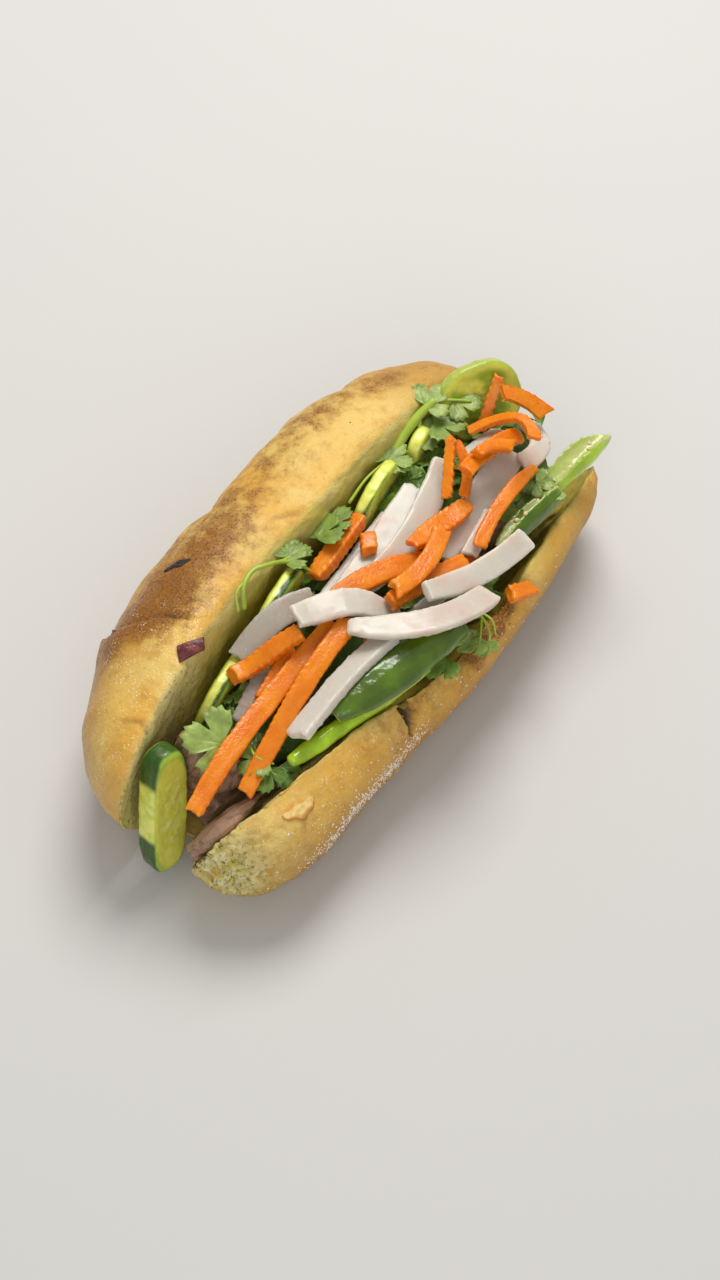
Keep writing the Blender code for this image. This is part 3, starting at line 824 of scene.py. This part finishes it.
def build_meat(node, look, material, seed):
    obj = remesh(solid(node + "_grilled", node), look.cell, 3)
    mesh = obj.data
    points = points_of(mesh)
    fibres = np.abs(lumps(grain_of(mesh, 7.0), 2.8, 3, seed))
    folds = lumps(points, 11, 2, seed + 2)
    plump = 0.9 * rise(-68, -84, points[:, 1]) * rise(42, 36, points[:, 2])
    push(mesh, (fibres - 0.3) * look.fibre / MM * 2.0 + (folds - 0.2) * 0.9 + plump)
    # Painted shade where the fibres and folds are sunk.
    paint(mesh, "dip", rise(0.16, 0.0, fibres) * 0.8 + rise(-0.1, -0.5, folds) * 0.6)
    paint(mesh, "grain", grain_of(mesh, 8.0) * MM)
    return settle(obj, material, "meat", node)


# Cilantro.

LEAF_STEPS = 48
LEAF_RINGS = 5
LEAF_HALF_ANGLE = math.radians(105)
LOBES = (-0.66, 0.0, 0.66)
TEETH = (0, 0.13, 0.26, 0.46, 0.60, 0.74, 0.88)
LEAF_THICK = 0.2
LOBE_HALF = 0.46
NOTCH = 0.35


def leaf_reach(t):
    """How far a leaflet's edge is from its stalk, t runs from -1 to 1 round its fan."""
    lobe = max((1.0 if centre == 0 else 0.86) * (1 - ((t - centre) / LOBE_HALF) ** 2) for centre in LOBES)
    notch = math.exp(-(((abs(t) - NOTCH) / 0.04) ** 2))
    tooth = max(1 - abs(abs(t) - place) / 0.062 for place in TEETH)
    return (0.40 + 0.50 * max(0.0, lobe)) * (1 - 0.42 * notch) + 0.13 * max(0.0, tooth) - 0.12 * abs(t) ** 4


def leaflet(reach, cup, ripple, phase):
    """A leaflet's vertices and faces, lying along +Y from its stalk, top and underside joined at the edge."""
    rows, shade = [], []
    for ring in range(1, LEAF_RINGS + 1):
        q = ring / LEAF_RINGS
        for i in range(LEAF_STEPS + 1):
            t = 2 * i / LEAF_STEPS - 1
            r = reach * leaf_reach(t) * q
            angle = LEAF_HALF_ANGLE * t
            crease = min(abs(t - centre) for centre in LOBES)
            z = reach * q * q * (cup * (1 - math.cos(angle * 0.7)) + ripple * math.sin(4.2 * t + phase))
            z -= 0.025 * reach * math.exp(-((crease / 0.07) ** 2)) * math.sin(math.pi * min(1, q + 0.2))
            rows.append(Vector((r * math.sin(angle), r * math.cos(angle), z)))
            shade.append(math.exp(-((crease / 0.05) ** 2)) * (1 - 0.5 * q))
    top = [Vector((0, 0, 0))] + rows
    under = [point - Vector((0, 0, LEAF_THICK)) for point in top]
    count, width = len(top), LEAF_STEPS + 1
    faces = []
    for i in range(LEAF_STEPS):
        faces.append((0, 2 + i, 1 + i))
    for ring in range(LEAF_RINGS - 1):
        for i in range(LEAF_STEPS):
            a = 1 + ring * width + i
            faces.append((a, a + 1, a + 1 + width, a + width))
    faces += [tuple(corner + count for corner in reversed(face)) for face in faces]
    edge = [0] + [1 + ring * width for ring in range(LEAF_RINGS)]
    last = 1 + (LEAF_RINGS - 1) * width
    edge += [last + i for i in range(1, width)]
    edge += [1 + ring * width + LEAF_STEPS for ring in range(LEAF_RINGS - 2, -1, -1)]
    for a, b in zip(edge, edge[1:] + edge[:1]):
        faces.append((a, b, b + count, a + count))
    return top + under, faces, [0.6] + shade + [0.6] + shade


class Leaves(Pile):
    """Gathers leaflets into one mesh."""

    def __init__(self):
        super().__init__()
        self.veins, self.tones = [], []

    def lay(self, place, heading, pitch, roll, reach, tone, phase, cup=0.12, ripple=0.05):
        """heading turns from +Y towards +X, pitch lifts the tip, roll banks it, all in degrees."""
        turn = Matrix.Translation(Vector(place))
        for angle, axis in ((-heading, "Z"), (pitch, "X"), (roll, "Y")):
            turn = turn @ Matrix.Rotation(math.radians(angle), 4, axis)
        vertices, faces, veins = leaflet(reach, cup, ripple, phase)
        self.add([turn @ vertex for vertex in vertices], faces)
        self.veins += veins
        self.tones += [tone] * len(vertices)


def leaf_finish(look):
    made = soft_finish("cilantro_leaf", 0.25, 0.8, (0.4, 1.0, 0.15), 0.45)
    tone = made.layers(
        look.leaf,
        (made.value("tone"), look.young),
        (made.band(made.cloud(4, 3), 0.35, 0.7, 0, 0.45), (0.03, 0.065, 0.006)),
        (made.times(made.value("vein"), 0.5), (0.28, 0.34, 0.09)),
    )
    wet = made.band(made.cloud(1.5, 2), 0.3, 0.7, 0.32, 0.55)
    return made.coat(tone, wet, made.bump(made.cloud(0.9, 3), 0.12))


def stem_finish():
    made = soft_finish("cilantro_stem", 0.3, 0.8, (0.6, 1.0, 0.15), 0.5)
    tone = made.blend(made.cloud(5, 3), (0.44, 0.54, 0.08), (0.30, 0.46, 0.03))
    wet = made.band(made.cloud(2, 2), 0.3, 0.7, 0.28, 0.45)
    return made.coat(tone, wet, made.bump(made.cloud(0.8, 2), 0.08))


def tube(points, thickness, sides=8):
    """Vertices and faces of a stem through points, thinning towards its end."""
    vertices = []
    count = len(points)
    for i, point in enumerate(points):
        way = (points[min(i + 1, count - 1)] - points[max(i - 1, 0)]).normalized()
        side = way.orthogonal().normalized()
        if i:
            side = (last_side - way * last_side.dot(way)).normalized()
        last_side = side
        other = way.cross(side)
        size = thickness / 2 * (1 - 0.35 * i / (count - 1))
        for k in range(sides):
            turn = 2 * math.pi * k / sides
            vertices.append(point + (side * math.cos(turn) + other * math.sin(turn)) * size)
    return vertices, loft(count, sides)


def smooth_path(corners, steps=8):
    """Points on a smooth curve through a few places."""
    corners = [Vector(corner) for corner in corners]
    ends = [2 * corners[0] - corners[1]] + corners + [2 * corners[-1] - corners[-2]]
    path = []
    for a, b, c, d in zip(ends, ends[1:], ends[2:], ends[3:]):
        for step in range(steps):
            t = step / steps
            bend = (2 * a - 5 * b + 4 * c - d) * t**2 + (3 * b - a - 3 * c + d) * t**3
            path.append(0.5 * (2 * b + (c - a) * t + bend))
    return path + [corners[-1]]


# Leaflets that lie in sight: place, heading, pitch, roll, length and tone.
SHOWN_LEAVES = (
    ((7.2, -70.5, 48.8), 238, 15, -24, 13.5, 1.0),
    ((17.5, -66, 43.6), 200, -6, 0, 8, 0.7),
    ((21.5, -67, 42), 160, -10, 8, 8, 0.1),
    ((23, -64, 41), 120, -12, -8, 8, 0.05),
    ((-13.5, -8, 57), 20, 2, -14, 9, 0.65),
    ((-12.5, -5, 56.5), -40, 4, 10, 8, 0.6),
    ((-11.5, 7, 53), 0, 6, -25, 11, 0.6),
    ((-11.5, 14, 53), 15, 4, -20, 9, 0.6),
    ((-11, 46, 51), 0, 10, 10, 9.5, 0.95),
    ((-10.5, 47, 51), 65, 6, -8, 8, 0.9),
    ((-11.5, 47, 51), -55, 6, 8, 7, 0.9),
    ((-11, 68, 57.5), 15, 6, 0, 9.5, 0.95),
    ((-5, 76, 56), 60, -8, 10, 9.5, 0.9),
    ((-6, 66, 54), 60, 2, -6, 11, 0.6),
    ((-9, 60, 52), 30, 6, 6, 10, 0.45),
    ((44.8, -3, 43.5), 200, -8, 14, 9.5, 0.45),
    ((49.5, 9, 42.8), 215, -8, 12, 7, 0.85),
    ((47, 6, 43.4), 250, -5, 10, 6, 0.85),
    ((51, 10, 42.6), 165, -14, 10, 5.5, 0.9),
    ((40, 68, 49.5), 200, 4, 10, 6, 0.9),
    ((30.5, 66, 42.5), 160, -6, 12, 8.5, 0.3),
    ((31, 58, 44.5), 200, -8, 10, 7, 0.45),
    ((31.5, 69, 46), 70, 4, 12, 6.5, 0.6),
    ((30, 71, 44), 120, -4, -8, 8, 0.15),
)

# Stems in sight: the places each one passes and its thickness.
SHOWN_STEMS = (
    (
        (
            (-12.5, -31, 58), (-15, -27.5, 63.5), (-16, -21.5, 64.2), (-14, -16.5, 63.4),
            (-12.5, -9.5, 58.5), (-9.5, -5, 54), (-6, -3, 50),
        ),
        1.8,
    ),
    (((-12.5, -34, 60), (-15.2, -31, 63.8), (-16, -25, 64)), 1.1),
    (((-13.8, -13, 61), (-13, -8, 57.5), (-12.5, -2, 55.5)), 1.1),
    (((42, 14, 43), (45, 16, 44), (50, 13, 43), (52, 9, 41.5)), 1.2),
    (((43, 18, 43), (48, 17.5, 43), (51.5, 14.5, 41)), 0.9),
    (((45.5, 15.5, 44), (48, 11, 43.2), (49.5, 8, 42.5)), 0.9),
    (((-9, 62, 53), (-11, 68, 56.5), (-6, 74, 57), (0, 79, 55.5)), 1.3),
    (((12, -64, 44), (17, -67, 45), (22, -65, 43)), 1.1),
    (((-12, 26, 50), (-12, 36, 52), (-11, 46, 51.5)), 1.2),
    (((-11, 46, 47), (-11.8, 54, 51), (-11, 63, 55), (-9, 71, 58)), 4.4),
)


def core_finish(look):
    made = Finish("herb_core", Specular_IOR_Level=0.3)
    # Dark green painted as the shade deep between the leaves.
    tone = made.blend(made.cloud(3, 4, 0.6), look.core, (0.09, 0.17, 0.02))
    dull = made.band(made.cloud(2, 2), 0.3, 0.7, 0.45, 0.8)
    return made.coat(tone, dull, made.bump(made.cloud(2.2, 4), 0.8))


def build_core(look):
    """The heart of the heap, painted dark green as the shade between its leaves, shrunk under its leaflets
    and lower at the far end beside the chilli.
    """
    obj = remesh(solid("herb_core", "cilantro_bed"), 1.1 * MM, 3)
    points = points_of(obj.data)
    low = rise(14, 22, points[:, 0]) * rise(68, 80, points[:, 1])
    push(obj.data, 0.9 * lumps(points, 5, 3, 7.0) - 1.1)
    sunk = points_of(obj.data)
    sunk[:, 2] -= low * np.maximum(0, sunk[:, 2] - 16) * 0.7
    set_points(obj.data, sunk)
    return settle(obj, core_finish(look), "herbs", "cilantro_bed")


def open_bed(count, seed):
    """Places on the bed that can be seen from above, and its slope there, apart from its low far corner."""
    trees = {name: tree_of(NODES[name].data) for name in NODES}
    low, high = (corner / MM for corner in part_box("cilantro_bed"))
    draw = random.Random(seed)
    found = []
    for _ in range(count * 40):
        start = Vector((draw.uniform(low.x, high.x), draw.uniform(low.y, high.y), ABOVE))
        hits = {name: tree.ray_cast(start * MM, DOWN, FAR) for name, tree in trees.items()}
        hits = {name: hit for name, hit in hits.items() if hit[0] is not None}
        first = min(hits, key=lambda name: hits[name][3], default="")
        place = hits[first][0] / MM if first else start
        if first == "cilantro_bed" and not (place.x > 14 and place.y > 72):
            found.append((place, hits[first][1]))
        if len(found) == count:
            break
    return found


def build_herbs(look):
    leaves = Leaves()
    draw = random.Random(11)
    for shown in SHOWN_LEAVES:
        leaves.lay(*shown, draw.uniform(0, 6))
    for place, slope in open_bed(look.scattered, 5):
        heading, tone = draw.uniform(0, 360), draw.uniform(0, 0.5)
        reach = look.reach / MM * draw.uniform(0.6, 1.0)
        way = Vector((math.sin(math.radians(heading)), math.cos(math.radians(heading)), 0))
        lift = math.degrees(math.atan2(-slope.dot(way), max(0.3, slope.z)))
        start = place - way * reach * 0.5 + Vector((0, 0, draw.uniform(-0.6, 0.5)))
        roll, phase = draw.uniform(-18, 18), draw.uniform(0, 6)
        leaves.lay(start, heading, lift * 0.6, roll, reach, tone, phase, 0.15, 0.07)
    obj = from_rows("cilantro_leaves", leaves.vertices, leaves.faces)
    paint(obj.data, "vein", np.array(leaves.veins))
    paint(obj.data, "tone", np.array(leaves.tones))
    settle(obj, leaf_finish(look), "herbs")
    stems = Pile()
    for corners, thickness in SHOWN_STEMS:
        stems.add(*tube(smooth_path(corners), thickness))
    settle(from_rows("cilantro_stems", stems.vertices, stems.faces), stem_finish(), "herbs")


# Small bits.


def blob(centre, size, normal, draw):
    """Vertices and faces of a small uneven lump with its flat side along normal."""
    spin = Matrix.Rotation(draw.uniform(0, 6.28), 3, "Z")
    turn = Vector((0, 0, 1)).rotation_difference(normal).to_matrix() @ spin
    made = bmesh.new()
    bmesh.ops.create_icosphere(made, subdivisions=1, radius=0.5)
    vertices = [centre + turn @ (vertex.co * Vector(size) * draw.uniform(0.8, 1.15)) for vertex in made.verts]
    faces = [tuple(v.index for v in face.verts) for face in made.faces]
    made.free()
    return vertices, faces


def scatter(name, material, slot, places, size_of, seed):
    """One mesh of small lumps, each on a place with a normal."""
    draw = random.Random(seed)
    pile = Pile()
    for place, normal in places:
        pile.add(*blob(place, size_of(draw), normal, draw))
    return settle(from_rows(name, pile.vertices, pile.faces), material, slot)


def on_surface(tree, starts, way=DOWN, sink=0.0):
    """Where rays along way from each start meet a surface."""
    found = []
    for start in starts:
        place, normal, _, _ = tree.ray_cast(Vector(start) * MM, Vector(way).normalized(), FAR)
        if place is not None:
            found.append((place / MM - normal * sink, normal))
    return found


def speck_finish(name, tone, shade, rough):
    made = Finish(name, Specular_IOR_Level=0.4)
    return made.coat(made.blend(made.cloud(0.8, 3), tone, shade), rough, made.bump(made.cloud(0.5, 3), 0.15))


def build_flour(look, tree):
    """Flour along the low outer side of the leaning half and on its nose."""
    draw = random.Random(21)
    starts = []
    for _ in range(look.grains):
        along = draw.betavariate(1.6, 1.6)
        z = 22.5 + 5 * along + draw.gauss(0, 1.8)
        starts.append((BESIDE, 62 * along - 80 + draw.gauss(0, 1), z))
    for _ in range(look.grains // 4):
        starts.append((BESIDE, draw.uniform(-96, 60), draw.uniform(16, 36)))
    flour = speck_finish("flour", (0.85, 0.80, 0.72), (0.92, 0.90, 0.86), 0.8)
    places = on_surface(tree, starts, (-1, 0, 0))
    return scatter(
        "flour_grains", flour, "bread", places,
        lambda d: (d.uniform(0.35, 0.95), d.uniform(0.35, 0.8), d.uniform(0.25, 0.45)), 22,
    )


def build_specks(tree):
    """Dark freckles on the crust by the lip of the taller half."""
    draw = random.Random(31)
    starts = [(draw.uniform(-34, -14), draw.uniform(-80, 80), ABOVE) for _ in range(46)]
    pepper = speck_finish("pepper", (0.03, 0.018, 0.01), (0.12, 0.06, 0.02), 0.6)
    return scatter(
        "pepper_specks", pepper, "bread", on_surface(tree, starts, sink=0.1),
        lambda d: (d.uniform(0.3, 0.8),) * 2 + (0.3,), 32,
    )


def build_toasted_crumbs(tree):
    """Crisp brown crumbs along the rim of the leaning half."""
    draw = random.Random(61)
    starts = []
    for _ in range(90):
        t = draw.betavariate(2, 2)
        middle = BROWNED_RIM[0] + (BROWNED_RIM[-1] - BROWNED_RIM[0]) * t
        starts.append((middle[0] + draw.gauss(-0.6, 1.7), middle[1] + draw.gauss(0, 1.2), ABOVE))
    crisp = speck_finish("toasted_crumb", (0.30, 0.12, 0.02), (0.55, 0.30, 0.07), 0.3)
    return scatter(
        "toasted_crumbs", crisp, "bread", on_surface(tree, starts),
        lambda d: (d.uniform(0.6, 1.7), d.uniform(0.5, 1.2), d.uniform(0.4, 0.9)), 62,
    )


def build_seeds():
    """Pale seeds on the inner faces of the chilli slices at the far end."""
    draw = random.Random(41)
    places = []
    for node, count in (("jalapeno_slice_04", 9), ("jalapeno_slice_03", 3)):
        low, high = (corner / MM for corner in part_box(node))
        starts = [
            (draw.uniform(low.x, high.x) - 20, draw.uniform(low.y + 4, high.y - 4), high.z + 20)
            for _ in range(count)
        ]
        places += on_surface(tree_of(NODES[node].data), starts, (0.7, 0, -0.7), 0.1)
    seed = speck_finish("chilli_seed", (0.72, 0.62, 0.33), (0.60, 0.48, 0.20), 0.4)
    return scatter(
        "chilli_seeds", seed, "chilli", places,
        lambda d: (d.uniform(2.0, 2.8), d.uniform(1.7, 2.2), 0.8), 42,
    )


def build_flake(tree):
    """A charred flake on the toasted shoulder."""
    starts = []
    for step in range(12):
        t = step / 11 - 0.5
        for side in (-0.6, 0, 0.6):
            across = side * math.cos(3 * t) * (0.8 + 0.5 * math.sin(9 * t))
            starts.append((-39.2 + 5.3 * t + across, -29.2 + 5.5 * t - across, ABOVE))
    char = speck_finish("charred_crumb", (0.012, 0.011, 0.012), (0.05, 0.035, 0.025), 0.45)
    return scatter(
        "char_flake", char, "bread", on_surface(tree, starts),
        lambda d: (d.uniform(1.2, 2.2), d.uniform(1.1, 1.9), d.uniform(0.7, 1.3)), 52,
    )


def build_torn_flake(tree):
    """A curled flake of crust that stands off the leaning half near its mouth."""
    start, end = Vector((33.6, -77.5, 0)), Vector((37.2, -65.5, 0))
    along = (end - start).normalized()
    outward = Vector((along.y, -along.x, 0))
    rows, edge = [], []
    rings = 13
    for i in range(rings):
        t = i / (rings - 1)
        bulge = math.sin(math.pi * t)
        wide = 0.5 + 2.3 * bulge + 0.4 * math.sin(17 * t)
        top = []
        for across, lift in ((-1.0, -0.3), (-0.3, 0.1), (0.4, 0.3), (1.0, 0.85)):
            spot = start.lerp(end, t) + outward * (across * wide + 0.8 * bulge)
            place, _ = on_surface(tree, [(spot.x, spot.y, ABOVE)])[0]
            top.append(place + Vector((0, 0, lift * (0.3 + 0.7 * bulge))))
        rows += top + [place - Vector((0.1, 0, 0.35)) for place in reversed(top)]
        edge += [1.0 if i in (0, rings - 1) or k in (0, 3, 4, 7) else 0.0 for k in range(8)]
    made = Finish("torn_crust", Specular_IOR_Level=0.35)
    pale = made.blend(made.band(made.cloud(1.5, 3), 0.35, 0.7), (0.82, 0.62, 0.26), (0.72, 0.44, 0.10))
    tone = made.blend(made.value("edge"), pale, (0.60, 0.19, 0.015))
    crisp = made.band(made.cloud(1, 3), 0.35, 0.7, 0.3, 0.55)
    obj = from_rows("torn_flake", rows, loft(rings, 8))
    paint(obj.data, "edge", np.array(edge))
    return settle(obj, made.coat(tone, crisp, made.bump(made.cloud(0.8, 3), 0.15)), "bread")


def build_onion(tree):
    """A small piece of red onion on the lip of the taller half."""
    place, _ = on_surface(tree, [(-15.4, -55, ABOVE)])[0]
    along = Vector((0.53, 0.85, 0.1)).normalized()
    normal = Vector((0.25, -0.2, 1)).normalized()
    across = normal.cross(along).normalized()
    rows = []
    rings = 7
    for i in range(rings):
        t = i / (rings - 1) - 0.5
        middle = place + along * 9.0 * t + normal * (1.5 - 2.0 * t * t)
        for a, b in ((-1, -1), (1, -1), (1, 1), (-1, 1)):
            rows.append(middle + along * 0.7 * a + across * (a * (2.3 - 0.8 * t)) + normal * 0.8 * b)
    made = soft_finish("red_onion", 0.2, 1, (1.0, 0.3, 0.3), 0.5)
    tone = made.blend(made.band(made.cloud(2, 3), 0.35, 0.7), (0.10, 0.012, 0.018), (0.24, 0.06, 0.035))
    obj = from_rows("red_onion_bit", rows, loft(rings, 4))
    bevel = obj.modifiers.new("edge", "BEVEL")
    bevel.width, bevel.segments = 0.5 * MM, 2
    return settle(bake(obj), made.coat(tone, 0.35, made.bump(made.cloud(1, 3), 0.2)), "meat")


# Stage.

TARGET = Vector((12.068, -3.254, 28.0)) * MM
FLOOR_HALF = 3000
# Each light's place and size in metres, its share of the key light's power and its tint.
LIGHTS = {
    "key_light": ((-0.24, 0.50, 0.95), 0.6, 1.0, (1.0, 0.98, 0.94)),
    "fill_light": ((0.5, -0.75, 0.7), 0.9, 0.36, (1.0, 0.99, 0.97)),
}
SKY_TINT = (1.0, 0.985, 0.96, 1.0)


def floor_finish(look):
    made = Finish("floor", Specular_IOR_Level=0.2)
    tone = made.blend(made.cloud(250, 2), look.floor, tuple(c * 0.96 for c in look.floor))
    return made.coat(tone, 0.85, made.bump(made.cloud(1.2, 2), 0.02))


def area_light(name, place, size, power, tint):
    """A soft round light that points at the target."""
    light = bpy.data.lights.new(name, "AREA")
    light.shape, light.size, light.energy, light.color = "DISK", size, power, tint
    lamp = link(bpy.data.objects.new(name, light))
    lamp.location = place
    lamp.rotation_mode = "QUATERNION"
    lamp.rotation_quaternion = (TARGET - Vector(place)).to_track_quat("-Z", "Y")


def build_stage(look):
    corners = [(x * FLOOR_HALF, y * FLOOR_HALF, 0) for x, y in ((-1, -1), (1, -1), (1, 1), (-1, 1))]
    floor = from_rows("floor", corners, [(0, 1, 2, 3)])
    floor.data.materials.append(floor_finish(look))
    scene = bpy.context.scene
    level = math.cos(look.height)
    back = Vector((math.sin(look.azimuth) * level, -math.cos(look.azimuth) * level, math.sin(look.height)))
    camera = link(bpy.data.objects.new("camera", bpy.data.cameras.new("camera")))
    camera.location = TARGET + back * look.distance
    camera.rotation_mode = "QUATERNION"
    camera.rotation_quaternion = (-back).to_track_quat("-Z", "Y")
    camera.data.lens = look.lens
    camera.data.clip_end = 20
    scene.camera = camera
    for name, (place, size, share, tint) in LIGHTS.items():
        area_light(name, place, size, look.key * share, tint)
    world = bpy.data.worlds.new("soft_sky")
    world.use_nodes = True
    sky = world.node_tree.nodes["Background"]
    sky.inputs["Color"].default_value = SKY_TINT
    sky.inputs["Strength"].default_value = look.sky
    scene.world = world
    scene.view_settings.view_transform = "Standard"


# Operators.


class BanhMiOperator:
    bl_options = {"REGISTER", "UNDO"}

    def execute(self, context):
        self.make(context.scene)
        return {"FINISHED"}


class BANHMI_OT_bread(BanhMiOperator, bpy.types.Operator):
    """Builds the split roll with its toasted crust and cut faces"""

    bl_idname = "banh_mi.bread"
    bl_label = "Bread"

    def make(self, scene):
        build_bread(scene.banh_mi_bread)


class BANHMI_OT_meat(BanhMiOperator, bpy.types.Operator):
    """Builds the grilled meat slices"""

    bl_idname = "banh_mi.meat"
    bl_label = "Meat"

    def make(self, scene):
        look = scene.banh_mi_meat
        material = meat_finish(look)
        for i, node in enumerate(nodes_named("meat_slice")):
            build_meat(node, look, material, 4.0 + i)


class BANHMI_OT_cucumber(BanhMiOperator, bpy.types.Operator):
    """Builds the cucumber slices with their skin"""

    bl_idname = "banh_mi.cucumber"
    bl_label = "Cucumber"

    def make(self, scene):
        look = scene.banh_mi_greens
        material = cucumber_finish(look)
        for i, (node, bare) in enumerate(zip(nodes_named("cucumber_slice"), CUCUMBER_PEEL)):
            build_cucumber(node, look, material, 2.0 + i, bare)


class BANHMI_OT_chilli(BanhMiOperator, bpy.types.Operator):
    """Builds the green chilli slices and their seeds"""

    bl_idname = "banh_mi.chilli"
    bl_label = "Green chilli"

    def make(self, scene):
        look = scene.banh_mi_greens
        dark = chilli_finish("dark_chilli", look, tuple(look.chilli))
        young = chilli_finish("young_chilli", look, tuple(look.young_chilli))
        slices = zip(nodes_named("jalapeno_slice"), (young, dark, young, dark), CHILLI_CROWNS)
        for i, (node, material, crown) in enumerate(slices):
            build_chilli(node, look, material, crown, 6.0 + i)
        build_seeds()


class BANHMI_OT_herbs(BanhMiOperator, bpy.types.Operator):
    """Builds the cilantro: a dark core, leaflets and stems"""

    bl_idname = "banh_mi.herbs"
    bl_label = "Cilantro"

    def make(self, scene):
        build_core(scene.banh_mi_herbs)
        build_herbs(scene.banh_mi_herbs)


class BANHMI_OT_daikon(BanhMiOperator, bpy.types.Operator):
    """Builds the pickled daikon strips"""

    bl_idname = "banh_mi.daikon"
    bl_label = "Daikon"

    def make(self, scene):
        look = scene.banh_mi_strips
        dense = daikon_finish("pickled_daikon", look, 0.0)
        thin = daikon_finish("thin_daikon", look, 0.3)
        for i, node in enumerate(nodes_named("daikon_strip")):
            build_strip(node, look, thin if node in THIN_DAIKON else dense, "daikon", DAIKON_CUT, 10.0 + i)


class BANHMI_OT_carrot(BanhMiOperator, bpy.types.Operator):
    """Builds the pickled carrot strips"""

    bl_idname = "banh_mi.carrot"
    bl_label = "Carrot"

    def make(self, scene):
        look = scene.banh_mi_strips
        material = carrot_finish(look)
        for i, node in enumerate(nodes_named("carrot_strip")):
            build_strip(node, look, material, "carrot", CARROT_CUT, 40.0 + i)


class BANHMI_OT_crumbs(BanhMiOperator, bpy.types.Operator):
    """Builds the small bits on the crust: flour, freckles, crumbs, flakes and a bit of onion"""

    bl_idname = "banh_mi.crumbs"
    bl_label = "Small bits"

    def make(self, scene):
        tree = tree_of(bpy.data.objects["bread_crust"].data)
        build_flour(scene.banh_mi_bread, tree)
        build_specks(tree)
        build_toasted_crumbs(tree)
        build_flake(tree)
        build_torn_flake(tree)
        build_onion(tree)


class BANHMI_OT_stage(BanhMiOperator, bpy.types.Operator):
    """Builds the plain floor, the soft light and the camera"""

    bl_idname = "banh_mi.stage"
    bl_label = "Stage"

    def make(self, scene):
        build_stage(scene.banh_mi_stage)


class BANHMI_PT_panel(bpy.types.Panel):
    bl_idname = "BANHMI_PT_panel"
    bl_label = "Banh Mi"
    bl_space_type = "VIEW_3D"
    bl_region_type = "UI"
    bl_category = "Banh Mi"

    def draw(self, context):
        for name, group in LOOKS.items():
            box = self.layout.box()
            for key in group.__annotations__:
                box.prop(getattr(context.scene, name), key)
        for operator in OPERATORS:
            self.layout.operator(operator.bl_idname)


OPERATORS = (
    BANHMI_OT_bread,
    BANHMI_OT_meat,
    BANHMI_OT_cucumber,
    BANHMI_OT_chilli,
    BANHMI_OT_herbs,
    BANHMI_OT_daikon,
    BANHMI_OT_carrot,
    BANHMI_OT_crumbs,
    BANHMI_OT_stage,
)


def register():
    for group in LOOKS.values():
        bpy.utils.register_class(group)
    for kind in (*OPERATORS, BANHMI_PT_panel):
        bpy.utils.register_class(kind)
    for name, group in LOOKS.items():
        setattr(bpy.types.Scene, name, PointerProperty(type=group))


def unregister():
    for name in LOOKS:
        delattr(bpy.types.Scene, name)
    for kind in (BANHMI_PT_panel, *reversed(OPERATORS), *reversed(LOOKS.values())):
        bpy.utils.unregister_class(kind)


def main():
    register()
    bpy.ops.banh_mi.bread()
    bpy.ops.banh_mi.meat()
    bpy.ops.banh_mi.cucumber()
    bpy.ops.banh_mi.chilli()
    bpy.ops.banh_mi.herbs()
    bpy.ops.banh_mi.daikon()
    bpy.ops.banh_mi.carrot()
    bpy.ops.banh_mi.crumbs()
    bpy.ops.banh_mi.stage()


if __name__ == "__main__":
    main()
